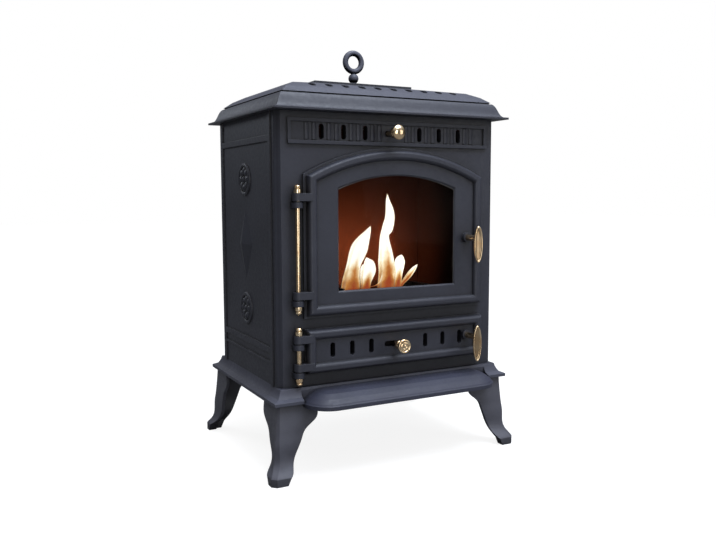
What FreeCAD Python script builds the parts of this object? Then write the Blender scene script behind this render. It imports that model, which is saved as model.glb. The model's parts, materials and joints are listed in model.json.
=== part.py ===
import FreeCAD, Part
import math
import os

# Bioethanol stove in the style of a cast iron wood stove, in millimetres.
# The front faces -Y, +X is to the right seen from the front, +Z is up and the floor is z = 0.
# Everything is built about the middle of the body shell and moved in Y at the end,
# so that the origin is under the middle of the whole object.

V = FreeCAD.Vector
X_AXIS = V(1, 0, 0)
Y_AXIS = V(0, 1, 0)
Z_AXIS = V(0, 0, 1)

# Fits and tools
turn_fit = 0.05           # radial play of a turning pin in its bore
seat_gap = 0.3            # play round a piece in its seat
slide_gap = 0.4           # play of a sliding plate between its rails
overrun = 6.0             # how far a cut runs past the faces it opens

# Body shell: front frame and back panel with cut corners, side panels between them
body_width = 435.0
body_depth = 295.0
body_height = 455.0
wall = 9.0                # front and back plates, and their corner cut
side_wall = 8.0

# Legs
leg_height = 128.0        # floor to the underside of the base
leg_set = 7.0             # top of a leg behind the base lip
leg_lean = 8.5            # how far the ankle stands out from the top
leg_wing = 72.0           # length of the front and back wings at the top
leg_side_wing = 65.0      # length of the side wings at the top
leg_wall = 5.5
leg_edge = 7.6            # corner chamfer at the ankle
leg_flange = 46.0         # bolting plate behind the wings
leg_flange_height = 8.0
foot_height = 13.0
foot_pad = 33.0           # length of the foot along the front
foot_side_pad = 27.0      # length of the foot along the side
foot_wall = 15.0
foot_draw = 6.0           # sole drawn in at the ends of the foot
foot_reach_x = 11.5       # foot beyond the base lip
foot_reach_y = 15.0
# Rows from the top down: share of the height, of the lean, of the wing, turn of the wing and corner edge
leg_shares = (
    (1.00, 0.00, 1.00, 0.00, 0.50),
    (0.86, 0.10, 1.00, 0.00, 0.52),
    (0.78, 0.20, 0.96, 0.01, 0.56),
    (0.70, 0.32, 0.80, 0.03, 0.62),
    (0.58, 0.52, 0.67, 0.08, 0.72),
    (0.42, 0.78, 0.585, 0.14, 0.86),
    (0.26, 1.00, 0.485, 0.17, 1.00),
)
ankle_wall_share = 1.20   # wing thickness at the ankle against the top
foot_neck_share = 0.40    # how far the foot has flared halfway down from the ankle

# Base plate
base_height = 24.0
base_side_reach = 15.5    # lip beyond the body sides
base_front_reach = 24.0   # lip beyond the body front and back
base_lip_height = 5.5
base_lip_step = 9.0
base_lip_bevel = 4.0      # fall of the step from the cove to the lip
base_cove_share = 0.35    # how far the cove still stands out at half its rise
base_plate_wall = 9.0
base_rim = 27.0
base_pad = 62.0           # solid corner over each leg

# Hearth ledge in front of the ash door
ledge_width = 374.0
ledge_reach = 67.5        # beyond the body front
ledge_corner = 44.0
ledge_drop = 6.0          # below the underside of the base
ledge_lip = 6.5
ledge_rise = 20.0         # root above its lip
ledge_slope = 36.0        # moulded slope, in from the lip at the front and at both ends
ledge_sharpest = 1.5      # least radius of the front corners, up the slope
# Slope from the lip to the flat top: share of the way in, share of the rise
ledge_slope_shares = ((0.05, 0.06), (0.09, 0.17), (0.30, 0.50), (0.60, 0.82), (0.88, 0.97), (1.0, 1.0))
ledge_root = 14.0         # part of the ledge that lies in the notch of the base
ledge_wall = 6.0
ledge_leg_gap = 1.0       # skirt of the ledge in front of the legs
ledge_tongue = 12.0       # screwed tongue under the base
ledge_tongue_end = 14.0   # tongue beyond its outer screws

# Doors
left_stile = 45.5         # body edge to door edge on the hinge side
right_stile = 33.5
ash_sill = 21.0
ash_height = 76.0
door_gap = 17.0           # between the two doors
frieze_gap = 3.0          # door crown to the frieze
door_rise = 46.0          # crown of the arch over its springing
door_play = 1.0           # door to front frame
door_flange = 5.0
door_flange_width = 4.5   # flange outside the fire door's bead
ash_flange_width = 0.8    # flange outside the ash door's bead
door_bead = 12.5          # bead in front of the flange
door_bead_width = 17.0
door_field = 10.5         # field in front of the door's back
bead_flank_shares = ((0.0, 0.0), (0.05, 0.55), (0.16, 0.85), (0.42, 1.0))
bead_hollow_shares = ((0.58, 1.0), (0.80, 0.86), (0.93, 0.50), (1.0, 0.0))
opening_set = 15.0        # frame opening inside the door edge
rope_set = 4.0
rope_width = 6.0
rope_groove = 4.0

# Window of the fire door
window_side = 62.0
window_foot = 44.0
window_crown = 48.0
window_bevel = 2.5
rebate_width = 8.0
rebate_depth = 7.5
gasket_thick = 1.5
glass_thick = 4.0
clip_length = 26.0
clip_width = 15.0
clip_thick = 2.0
clip_lap = 5.0            # clip over the glass
clip_low_share = 0.20     # clip places along the window's straight side
clip_high_share = 0.84
clip_screw_radius = 2.0
clip_head_radius = 3.6
clip_head = 2.2
clip_screw_depth = 6.0

# Hinges: rods held in lugs of the front frame
hinge_set = 12.0          # rod axis beside the door edge
hinge_out = 10.0          # rod axis in front of the body
hinge_rod_radius = 4.0
lug_radius = 9.0
door_lug = 12.5
frame_lug = 9.0
washer_gap = 2.4
washer_radius = 7.0
door_lug_reach = 12.0     # how far a door lug laps over the door
fire_hinge_drop = 31.5    # top lug below the springing of the arch
fire_hinge_rise = 22.5    # bottom lug above the door foot
ash_hinge_drop = 9.3
ash_hinge_sink = 4.0      # bottom lug below the door foot
cap_collar_radius = 6.0
cap_collar = 7.0
cap_ball_radius = 5.6
cap_socket = 5.0

# Handles
handle_set = 37.0         # spindle from the free edge of the door
fire_handle_rise = 127.0  # above the foot of the fire door
ash_handle_rise = 41.0
handle_stand = 36.0       # grip from the field of the door
spindle_radius = 4.0
handle_boss_radius = 9.0
handle_boss = 8.0
grip_length = 66.0
grip_width = 18.5
grip_above = 22.0         # top of the grip over the spindle
grip_thick = 5.2
grip_rim = 2.6
grip_dish = 1.8
grip_collar_radius = 6.5
grip_collar = 9.0
grip_neck_radius = 5.2
grip_socket = 1.5         # spindle end inside the thickness of the grip
cam_radius = 8.0
cam_thick = 6.0
cam_play = 2.0            # nose of the cam to the edge of the opening
nut_height = 5.0
nut_radius = 7.0
thread_end = 2.0          # thread beyond a nut

# Frieze with the air slide
frieze_height = 42.0
frieze_drop = 11.0        # frieze below the top of the body
frieze_side = 20.5        # frieze end from the body edge
frieze_rail = 6.0
frieze_relief = 3.0
frieze_ledge = 4.5        # relief of the bottom rail
slot_first = 54.0
slot_pitch = 41.0
slot_width = 9.0
slot_height = 25.0
slots_a_side = 3
flute_radius = 5.0
flute_relief = 2.4
flute_height = 27.0
flutes_per_pitch = 3

# Air slides
slide_plate = 2.5
slide_margin = 4.0        # plate over the slots, above and below
slide_end = 4.0           # plate beyond the outer slots and the travel
rail_height = 5.0
rail_lap = 2.5
rail_lip = 1.5
frieze_knob_set = 10.0    # knob left of the middle at rest
frieze_knob_travel = 20.0
ash_slot_first = 55.0
ash_slide_clear = 9.5     # end of the slide's travel to the edge of the frame opening
ash_knob_set = 8.0
ash_knob_travel = 16.0
ash_slide_margin = 3.0
ash_rail_height = 2.5
knob_stem_radius = 4.0
knob_slot_play = 1.0
knob_radius = 13.5
knob_stand = 28.0         # centre of the knob from the face
knob_face_share = 0.55    # flattening of the ash knob
knob_collar_radius = 8.0
knob_collar = 3.5
knob_nut_radius = 6.0
knob_nut_height = 3.0

# Side panel ornament
ridge_width = 10.0
ridge_relief = 2.4
ridge_side = 10.0         # upright ridge from the panel's edge
ridge_top = 38.0          # band from the top of the body
ridge_foot = 55.0         # band from the foot of the body
ridge_second = 18.0       # thin line below the foot band
ridge_line = 4.0
rosette_radius = 29.0
rosette_rim = 3.4
rosette_top_share = 0.762
rosette_foot_share = 0.256
petal_count = 8
petal_ring_share = 0.52
petal_radius = 9.0
petal_sink = 4.4
rosette_eye = 7.0
rosette_eye_sink = 1.6
diamond_height = 127.0
diamond_width = 66.0
diamond_relief = 8.5
diamond_face_share = 0.10
diamond_share = 0.512

# Top moulding and lift-off cover
lid_side_reach = 12.5     # lip beyond the body sides
lid_front_reach = 26.5    # lip beyond the body front and back
lid_lip = 3.5
lid_rise = 28.3
# Rows: share of the draw-in and of the rise over the lip
lid_cove_shares = ((0.06, 0.0), (0.53, 0.26), (0.70, 0.62), (1.0, 1.0))
lid_draw = 22.2
lid_floor = 8.0
lid_rim = 12.5
lid_floor_rim = 16.0
cover_gap = 2.3
cover_pad = 24.0
cover_set = 1.3           # cover edge inside the crease of the moulding
cover_wall = 5.0
cover_rise = 19.0         # eave to the break of the roof
cover_break = 33.0        # eave to the break, in plan
cover_bulge_share = 0.54  # rise at the middle of the lower slope
cover_bulge_in_share = 0.42
cover_slope = 12.5        # break to the top panel
panel_half_x = 100.0
panel_half_y = 45.0
panel_rise = 4.0
guide_drop = 7.0
guide_wall = 4.0
guide_notch = 108.0       # half of the opening in the front guide
vent_pitch = 31.3
vent_width = 13.0
vent_length = 29.0
vents_a_side = 5
vent_up_share = 0.42      # part of a vent that lies on the lower slope
rear_vent_pitch = 19.75
rear_vent_width = 11.0
rear_vent_length = 26.0
rear_vents_a_side = 5
rear_vent_set = 3.0       # rear vent behind the top panel

# Lifting ring
ring_radius = 16.75
ring_wire = 5.25
ring_ball_radius = 9.5
ring_neck_radius = 6.0
ring_neck = 7.0
ring_stem_radius = 4.0
ring_washer_radius = 11.0
ring_lap = 1.5            # overlap of ring, ball and neck in one casting

# Inside
tie_rod_radius = 4.0
tie_rod_set = 24.0        # rod axis from the inner faces
shelf_drop = 6.0          # shelf top below the foot of the fire door
shelf_thick = 6.0
shelf_rib = 8.0
liner_set = 36.0          # liner face from the back panel
liner_thick = 4.0
liner_side = 2.0          # liner edge from the inner side face
liner_top = 60.0          # liner below the top of the body
burner_length = 220.0
burner_depth = 84.0
burner_height = 42.0
burner_wall = 2.0
burner_front = 26.0       # burner behind the front frame
burner_slot_length = 162.0
burner_slot = 24.0
burner_slot_set = 16.0    # slot behind the burner's front
wool_height = 28.0
lid_slide_plate = 2.0
lid_slide_depth = 36.0
lid_slide_lap = 3.0       # slide beyond the ends of the slot
lid_slide_tab = 9.0
lid_slide_tab_length = 60.0
lid_slide_rest = 6.0      # slide behind the slot at rest
lid_rail_wall = 2.0

# Small fasteners
leg_bolt_radius = 4.0
leg_bolt_set = 30.0       # bolt axis from the base lip
leg_bolt_head = 5.5
leg_bolt_head_radius = 7.0
leg_bolt_depth = 10.0
ledge_screw_radius = 2.5
ledge_screw_head = 4.5
ledge_screw_head_height = 2.5
ledge_screw_spread = 120.0
ledge_screw_depth = 8.0
rail_screw_radius = 1.6
rail_screw_head = 3.0
rail_screw_head_height = 1.4
rail_screw_depth = 5.0
rail_screw_share = 0.82   # screw place along half of a rail

# Levels and planes that follow from the sizes above
base_foot = leg_height
body_foot = base_foot + base_height
body_top = body_foot + body_height
half_width = body_width / 2
half_depth = body_depth / 2
front = -half_depth
frame_back = front + wall
inner_side = half_width - side_wall
inner_back = half_depth - wall
lip_x = half_width + base_side_reach
lip_y = half_depth + base_front_reach
door_left = left_stile - half_width
door_right = half_width - right_stile
door_mid = (door_left + door_right) / 2
door_half = (door_right - door_left) / 2
door_back = front - door_play
door_face = door_back - door_field
door_crest = door_back - door_flange - door_bead
ash_foot = body_foot + ash_sill
ash_top = ash_foot + ash_height
fire_foot = ash_top + door_gap
frieze_top = body_top - frieze_drop
frieze_foot = frieze_top - frieze_height
fire_crown = frieze_foot - frieze_gap
fire_bow = (door_rise ** 2 + door_half ** 2) / (2 * door_rise)
fire_spring = fire_crown - door_rise
hinge_x = door_left - hinge_set
hinge_y = front - hinge_out
handle_x = door_right - handle_set
fire_handle_z = fire_foot + fire_handle_rise
ash_handle_z = ash_foot + ash_handle_rise
slot_mid = (frieze_top + frieze_foot) / 2
ash_mid = (ash_top + ash_foot) / 2
shelf_top = fire_foot - shelf_drop
burner_y = frame_back + burner_front
burner_top = shelf_top + burner_height
tie_x = inner_side - tie_rod_set
tie_y = inner_back - tie_rod_set
crease_z = body_top + lid_rise
crease_x = half_width + lid_side_reach - lid_draw
crease_y = half_depth + lid_front_reach - lid_draw
eave_z = crease_z + cover_gap
eave_x = crease_x - cover_set
eave_y = crease_y - cover_set
break_z = eave_z + cover_rise
roof_z = break_z + cover_slope
panel_z = roof_z + panel_rise
ledge_front = half_depth + ledge_reach
foot_back = lip_y + foot_reach_y
stand_y = (ledge_front - foot_back) / 2

# Door outlines: middle, half width, foot, crown and radius of the arch (none for a square top)
fire_form = (door_mid, door_half, fire_foot, fire_crown, fire_bow)
ash_form = (door_mid, door_half, ash_foot, ash_top, None)
window_form = (
    door_mid,
    door_half - window_side,
    fire_foot + window_foot,
    fire_crown - window_crown,
    fire_bow - window_crown,
)


# Plain shapes

def block(x0, x1, y0, y1, z0, z1):
    """Box between two corners."""
    return Part.makeBox(x1 - x0, y1 - y0, z1 - z0, V(x0, y0, z0))


def bar(radius, start, axis, length):
    """Round bar from a point along an axis."""
    return Part.makeCylinder(radius, length, start, axis)


def ball(radius, centre):
    return Part.makeSphere(radius, centre)


def prism(points, along):
    """Polygon pushed along a vector."""
    wire = Part.makePolygon(points + points[:1])
    return Part.Face(wire).extrude(along)


def fuse(shapes):
    """One solid from overlapping shapes, with the seams taken out."""
    whole = shapes[0].multiFuse(shapes[1:])
    return whole.removeSplitter()


def cut(shape, tools):
    return shape.cut(Part.makeCompound(tools)).removeSplitter()


def hex_nut(radius, height, start, axis):
    """Hexagon across corners, starting at a point and standing along an axis."""
    side = V(0, 0, 1) if abs(axis.z) == 0 else V(1, 0, 0)
    across = axis.cross(side)
    turns = [math.radians(60 * i) for i in range(6)]
    points = [start + side * (radius * math.cos(t)) + across * (radius * math.sin(t)) for t in turns]
    return prism(points, axis * height)


def nut(radius, bore, height, start, axis):
    tool = bar(bore, start - axis * overrun, axis, height + 2 * overrun)
    return hex_nut(radius, height, start, axis).cut(tool)


def mirrored_x(shape):
    return shape.mirror(V(0, 0, 0), X_AXIS)


def mirrored_y(shape):
    return shape.mirror(V(0, 0, 0), Y_AXIS)


def tier(sections, ruled=False):
    """Solid through level rectangles, each given as half width, half depth and height."""
    wires = []
    for half_x, half_y, z in sections:
        corners = [V(-half_x, -half_y, z), V(half_x, -half_y, z), V(half_x, half_y, z), V(-half_x, half_y, z)]
        wires.append(Part.makePolygon(corners + corners[:1]))
    return Part.makeLoft(wires, True, ruled)


def rounded_slot(length, width, x, y, z, depth, upright=True):
    """Slot with round ends, cut from plane y backwards by depth."""
    radius = width / 2
    half = length / 2 - radius
    if upright:
        ends = (V(x, y, z - half), V(x, y, z + half))
        middle = block(x - radius, x + radius, y, y + depth, z - half, z + half)
    else:
        ends = (V(x - half, y, z), V(x + half, y, z))
        middle = block(x - half, x + half, y, y + depth, z - radius, z + radius)
    return fuse([middle] + [bar(radius, end, Y_AXIS, depth) for end in ends])


# Door outlines

def door_wire(form, inset, y):
    """Door outline drawn in by an inset: square foot, straight sides, arched or square top."""
    middle, half, foot, crown, bow = form
    left = middle - half + inset
    right = middle + half - inset
    low = foot + inset
    top = crown - inset
    if bow is None:
        corners = [V(left, y, low), V(right, y, low), V(right, y, top), V(left, y, top)]
        return Part.makePolygon(corners + corners[:1])
    radius = bow - inset
    spring = top - radius + math.sqrt(radius ** 2 - (half - inset) ** 2)
    arc = Part.Arc(V(right, y, spring), V(middle, y, top), V(left, y, spring))
    edges = [
        Part.LineSegment(V(left, y, low), V(right, y, low)).toShape(),
        Part.LineSegment(V(right, y, low), V(right, y, spring)).toShape(),
        arc.toShape(),
        Part.LineSegment(V(left, y, spring), V(left, y, low)).toShape(),
    ]
    return Part.Wire(edges)


def door_slab(form, inset, y, depth):
    """Door outline pushed back from plane y by depth."""
    return Part.Face(door_wire(form, inset, y)).extrude(V(0, depth, 0))


def door_ring(form, outer, inner, y, depth):
    tool = door_slab(form, inner, y - overrun, depth + 2 * overrun)
    return door_slab(form, outer, y, depth).cut(tool)


def door_casting(form, flange_width, levels, handle_z):
    """Flange, rounded bead and sunk field, handle boss, hinge straps, and the rope groove in the back."""
    flange_y = door_back - door_flange
    flank = []
    for width_share, rise_share in bead_flank_shares:
        inset = flange_width + width_share * door_bead_width
        flank.append(door_wire(form, inset, flange_y - rise_share * door_bead))
    hollow = []
    drop = door_face - door_crest
    for width_share, rise_share in bead_hollow_shares:
        inset = flange_width + width_share * door_bead_width
        hollow.append(door_wire(form, inset, door_face - rise_share * drop))
    rise = Part.makeLoft(flank, True, False)
    sunk = Part.makeLoft(hollow, True, False)
    flange = door_slab(form, 0, flange_y, door_flange)
    dished = fuse([flange, rise]).cut(sunk)
    boss = bar(handle_boss_radius, V(handle_x, door_face, handle_z), -Y_AXIS, handle_boss)
    groove = door_ring(form, rope_set, rope_set + rope_width, door_back - rope_groove, rope_groove + overrun)
    bores = [lug_bore(low, high) for low, high in levels]
    return cut(fuse([dished, boss] + door_lugs(levels)), [groove, spindle_bore(handle_z)] + bores)


def rope(form):
    """Rope seal in the groove, just clear of the front frame."""
    thick = rope_groove + door_play - seat_gap
    inner = rope_set + rope_width - seat_gap
    return door_ring(form, rope_set + seat_gap, inner, door_back - rope_groove, thick)


# Hinges

def hinge_levels(top, foot):
    """Heights of the lugs: door and frame lug at the top, door and frame lug at the foot."""
    high = top - door_lug - washer_gap
    low = foot + frame_lug + washer_gap
    return {
        "door": ((top - door_lug, top), (low, low + door_lug)),
        "frame": ((high - frame_lug, high), (foot, foot + frame_lug)),
        "ends": (foot, top),
    }


fire_hinge = hinge_levels(fire_spring - fire_hinge_drop, fire_foot + fire_hinge_rise)
ash_hinge = hinge_levels(ash_top - ash_hinge_drop, ash_foot - ash_hinge_sink)
hinge_point = V(hinge_x, hinge_y, 0)


def lug_bore(low, high):
    start = hinge_point + Z_AXIS * (low - overrun)
    return bar(hinge_rod_radius + turn_fit, start, Z_AXIS, high - low + 2 * overrun)


def frame_lugs():
    """Round nosed lugs that stand out of the front frame and hold the rods."""
    lugs = []
    for low, high in fire_hinge["frame"] + ash_hinge["frame"]:
        nose = bar(lug_radius, hinge_point + Z_AXIS * low, Z_AXIS, high - low)
        neck = block(hinge_x - lug_radius, hinge_x + lug_radius, hinge_y, frame_back, low, high)
        lugs.append(fuse([nose, neck]).cut(lug_bore(low, high)))
    return lugs


def door_lugs(levels):
    """Straps that run from the rod on to the face of a door."""
    lugs = []
    for low, high in levels:
        nose = bar(lug_radius, hinge_point + Z_AXIS * low, Z_AXIS, high - low)
        back = min(hinge_y + lug_radius, door_back)
        strap = block(hinge_x, door_left + door_lug_reach, hinge_y - lug_radius, back, low, high)
        lugs.append(fuse([nose, strap]))
    return lugs


def hinge_rod(levels):
    foot, top = levels["ends"]
    start = hinge_point + Z_AXIS * (foot - cap_socket)
    return bar(hinge_rod_radius, start, Z_AXIS, top - foot + seat_gap + 2 * cap_socket)


def hinge_cap(z, way):
    """Turned brass end: collar and ball with a socket for the rod."""
    start = hinge_point + Z_AXIS * z
    axis = Z_AXIS * way
    collar = bar(cap_collar_radius, start, axis, cap_collar)
    knob = ball(cap_ball_radius, start + axis * (cap_collar + cap_ball_radius / 2))
    socket = bar(hinge_rod_radius + turn_fit, start, axis, cap_socket)
    return fuse([collar, knob]).cut(socket)


def hinge_caps():
    caps = []
    for levels in (fire_hinge, ash_hinge):
        foot, top = levels["ends"]
        caps.append(hinge_cap(foot, -1))
        caps.append(hinge_cap(top + seat_gap, 1))
    return Part.makeCompound(caps)


def hinge_washers():
    rings = []
    for levels in (fire_hinge, ash_hinge):
        for low, high in levels["frame"]:
            start = hinge_point + Z_AXIS * high
            ring = bar(washer_radius, start, Z_AXIS, washer_gap - seat_gap)
            rings.append(ring.cut(lug_bore(high, high + washer_gap)))
    return Part.makeCompound(rings)


# Legs

def leg_section(out_x, out_y, wing, side_wing, turn, edge, thick, z):
    """Level section of the front left leg: two wings from a chamfered corner."""
    x0 = -lip_x - out_x
    y0 = -lip_y - out_y
    swing = turn * wing
    side_swing = turn * side_wing
    inner = thick + max(swing, side_swing) / 2
    corners = [
        (edge, 0),
        (wing, swing),
        (wing, swing + thick),
        (inner, inner),
        (side_swing + thick, side_wing),
        (side_swing, side_wing),
        (0, edge),
    ]
    points = [V(x0 + u, y0 + v, z) for u, v in corners]
    return Part.makePolygon(points + points[:1])


def foot_section(draw, z):
    """Section of the foot: two short thick wings, drawn in at their ends."""
    return leg_section(foot_reach_x, foot_reach_y, foot_pad - draw, foot_side_pad - draw, 0, leg_edge,
                       foot_wall, z)


def front_left_leg():
    """Cabriole leg: lofted wings, flared foot with a flat sole, bolting flange at the top."""
    sections = []
    for height, lean, wing, turn, edge in leg_shares:
        out = lean * leg_lean - leg_set
        thick = leg_wall * (1 + (ankle_wall_share - 1) * lean)
        front_wing = wing * leg_wing
        side_wing = wing * leg_side_wing
        z = height * leg_height
        sections.append(leg_section(out, out, front_wing, side_wing, turn, edge * leg_edge, thick, z))
    ankle_z = leg_shares[-1][0] * leg_height
    neck_z = (ankle_z + foot_height) / 2
    ankle = leg_lean - leg_set
    neck_x = ankle + foot_neck_share * (foot_reach_x - ankle)
    neck_y = ankle + foot_neck_share * (foot_reach_y - ankle)
    neck_turn = leg_shares[-1][3] * (1 - foot_neck_share)
    neck_wing = leg_shares[-1][2] * leg_wing
    neck_side = leg_shares[-1][2] * leg_side_wing
    neck_wall = leg_wall * ankle_wall_share
    sections.append(leg_section(neck_x, neck_y, neck_wing, neck_side, neck_turn, leg_edge, neck_wall, neck_z))
    sections.append(foot_section(0, foot_height))
    shank = Part.makeLoft(sections, True, False)
    pad = Part.makeLoft([foot_section(0, foot_height), foot_section(foot_draw, 0)], True, True)
    near_x = leg_set - lip_x + leg_wall / 2
    near_y = leg_set - lip_y + leg_wall / 2
    flange_low = leg_height - leg_flange_height
    flange = block(near_x, near_x + leg_flange, near_y, near_y + leg_flange, flange_low, leg_height)
    hole = bar(leg_bolt_radius + seat_gap, leg_bolt_point(flange_low - overrun), Z_AXIS,
               leg_flange_height + 2 * overrun)
    return fuse([shank, pad, flange]).cut(hole)


def leg_bolt_point(z):
    return V(leg_bolt_set - lip_x, leg_bolt_set - lip_y, z)


def leg_bolt():
    """Hexagon bolt from below through the leg's flange into the base."""
    seat = leg_height - leg_flange_height
    head = hex_nut(leg_bolt_head_radius, leg_bolt_head, leg_bolt_point(seat), -Z_AXIS)
    shank = bar(leg_bolt_radius, leg_bolt_point(seat), Z_AXIS, leg_flange_height + leg_bolt_depth)
    return fuse([head, shank])


def at_corners(shape):
    """Copies of a front left shape at all four corners: front left, front right, rear left, rear right."""
    right = mirrored_x(shape)
    return [shape, right, mirrored_y(shape), mirrored_y(right)]


# Base and ledge

def tie_bar(radius, low, high):
    return at_corners(bar(radius, V(-tie_x, -tie_y, low), Z_AXIS, high - low))


def ledge_notch(gap):
    """Room in the base's front edge for the root of the ledge."""
    half = ledge_width / 2 + gap
    back = front - base_front_reach + ledge_root + gap
    return block(door_mid - half, door_mid + half, -lip_y - overrun, back,
                 base_foot - overrun, body_foot + overrun)


def base_plate():
    """Moulded plate: upright lip, ledge and cove round the edge, pocket below, solid corners for the legs."""
    lip_top = base_foot + base_lip_height
    step_z = lip_top + base_lip_bevel
    draw_in = base_side_reach - base_lip_step
    half_z = (step_z + body_foot) / 2
    step_x = lip_x - base_lip_step
    step_y = lip_y - base_lip_step
    bend = draw_in * base_cove_share
    lip = tier([(lip_x, lip_y, base_foot), (lip_x, lip_y, lip_top), (step_x, step_y, step_z)], True)
    cove = tier([
        (step_x, step_y, step_z),
        (step_x - draw_in + bend, step_y - draw_in + bend, half_z),
        (step_x - draw_in, step_y - draw_in, body_foot),
    ])
    ceiling = body_foot - base_plate_wall
    long_x = lip_x - base_rim
    long_y = lip_y - base_rim
    pockets = [
        block(base_pad - long_x, long_x - base_pad, -long_y, long_y, base_foot - overrun, ceiling),
        block(-long_x, long_x, base_pad - long_y, long_y - base_pad, base_foot - overrun, ceiling),
    ]
    bolt_hole = bar(leg_bolt_radius + turn_fit, leg_bolt_point(base_foot), Z_AXIS, leg_bolt_depth + seat_gap)
    tools = pockets + at_corners(bolt_hole)
    tools += tie_bar(tie_rod_radius + seat_gap, base_foot - overrun, body_foot + overrun)
    tools += tie_bar(nut_radius + seat_gap, base_foot - overrun, ceiling)
    for point in ledge_screw_points(base_foot):
        tools.append(bar(ledge_screw_radius + turn_fit, point, Z_AXIS, ledge_screw_depth + seat_gap))
    tools.append(ledge_notch(seat_gap))
    return cut(fuse([lip, cove]), tools)


def ledge_outline(z, inset):
    """Plan of the ledge: square at the root, round front corners."""
    half = ledge_width / 2 - inset
    left = door_mid - half
    right = door_mid + half
    root = front - base_front_reach + ledge_root
    tip = inset - ledge_front
    radius = max(ledge_corner - inset, ledge_sharpest)
    diagonal = radius * (1 - math.cos(math.pi / 4))
    near = tip + diagonal
    far = tip + radius
    left_arc = Part.Arc(V(left, far, z), V(left + diagonal, near, z), V(left + radius, tip, z))
    right_arc = Part.Arc(V(right - radius, tip, z), V(right - diagonal, near, z), V(right, far, z))
    edges = [
        Part.LineSegment(V(left, root, z), V(left, tip + radius, z)).toShape(),
        left_arc.toShape(),
        Part.LineSegment(V(left + radius, tip, z), V(right - radius, tip, z)).toShape(),
        right_arc.toShape(),
        Part.LineSegment(V(right, tip + radius, z), V(right, root, z)).toShape(),
        Part.LineSegment(V(right, root, z), V(left, root, z)).toShape(),
    ]
    return Part.Face(Part.Wire(edges))


def ledge_form(shrink):
    """Solid ledge: upright lip and moulded slope round the plan, drawn in and lowered by a wall."""
    foot = base_foot - ledge_drop
    lip_top = foot + ledge_lip
    levels = [(0, foot), (0, lip_top)]
    for way_in, way_up in ledge_slope_shares:
        levels.append((ledge_slope * way_in, lip_top + ledge_rise * way_up))
    wires = [ledge_outline(z - shrink, inset + shrink).OuterWire for inset, z in levels]
    return Part.makeLoft(wires, True, True)


def hearth_ledge():
    """Hollow apron under the ash door, with a screwed tongue under the base."""
    foot = base_foot - ledge_drop
    root_y = front - base_front_reach + ledge_root
    top = foot + ledge_lip + ledge_rise
    apron = ledge_form(0)
    behind_skirt = block(
        door_mid - ledge_width, door_mid + ledge_width, leg_set - lip_y - ledge_leg_gap, root_y + overrun,
        foot - overrun, base_foot,
    )
    half = ledge_screw_spread + ledge_tongue_end
    web = block(door_mid - half, door_mid + half, root_y - ledge_wall, root_y, foot, top).common(apron)
    tongue = block(door_mid - half, door_mid + half, root_y - ledge_wall, root_y + ledge_tongue,
                   foot, base_foot)
    hole_radius = ledge_screw_radius + turn_fit
    holes = [bar(hole_radius, point, Z_AXIS, base_height) for point in ledge_screw_points(foot)]
    shell = apron.cut(ledge_form(ledge_wall)).cut(behind_skirt)
    return fuse([shell, web, tongue]).cut(Part.makeCompound(holes))


def ledge_screw_points(z):
    y = front - base_front_reach + ledge_root + ledge_tongue / 2
    return [V(door_mid + i * ledge_screw_spread, y, z) for i in (-1, 0, 1)]


def ledge_screws():
    """Screws from below through the tongue into the base."""
    foot = base_foot - ledge_drop
    screws = []
    for point in ledge_screw_points(foot):
        head = bar(ledge_screw_head, point, -Z_AXIS, ledge_screw_head_height)
        shank = bar(ledge_screw_radius, point, Z_AXIS, ledge_drop + ledge_screw_depth)
        screws.append(fuse([head, shank]))
    return Part.makeCompound(screws)


# Body shell

def cut_corner_plate(outer, inner, low, high):
    """Plate with its outer corners cut, from the outer face to the inner plane."""
    cut_in = abs(outer - inner)
    points = [
        V(cut_in - half_width, outer, low),
        V(half_width - cut_in, outer, low),
        V(half_width, inner, low),
        V(-half_width, inner, low),
    ]
    return prism(points, V(0, 0, high - low))


def frieze_places():
    """Slot and flute places along the frieze, from the middle outwards on both sides."""
    step = slot_pitch / flutes_per_pitch
    last = flutes_per_pitch * (slots_a_side + 1) - 1
    slots = []
    flutes = []
    for i in range(last):
        place = slot_first + (i - 2) * step
        target = slots if i % flutes_per_pitch == 2 else flutes
        target += [place, -place]
    return slots, flutes


def frieze_relief_shapes():
    """Raised border, bottom rail and half round flutes of the frieze."""
    left = frieze_side - half_width
    right = half_width - frieze_side
    face = front - frieze_relief
    border = block(left, right, face, frame_back, frieze_foot, frieze_top)
    field = block(left + frieze_rail, right - frieze_rail, face - overrun, front,
                  frieze_foot + frieze_rail, frieze_top - frieze_rail)
    rail = block(left, right, front - frieze_ledge, frame_back, frieze_foot, frieze_foot + frieze_rail)
    shapes = [border.cut(field), rail]
    low = slot_mid - flute_height / 2
    for x in frieze_places()[1]:
        axis_y = front + flute_radius - flute_relief
        shapes.append(bar(flute_radius, V(x, axis_y, low), Z_AXIS, flute_height))
    return shapes


def knob_slot(x, travel, y, z, depth):
    """Level slot for a knob's stem over its whole travel."""
    width = 2 * (knob_stem_radius + knob_slot_play)
    return rounded_slot(abs(travel) + width, width, x + travel / 2, y - overrun, z,
                        depth + 2 * overrun, False)


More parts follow.
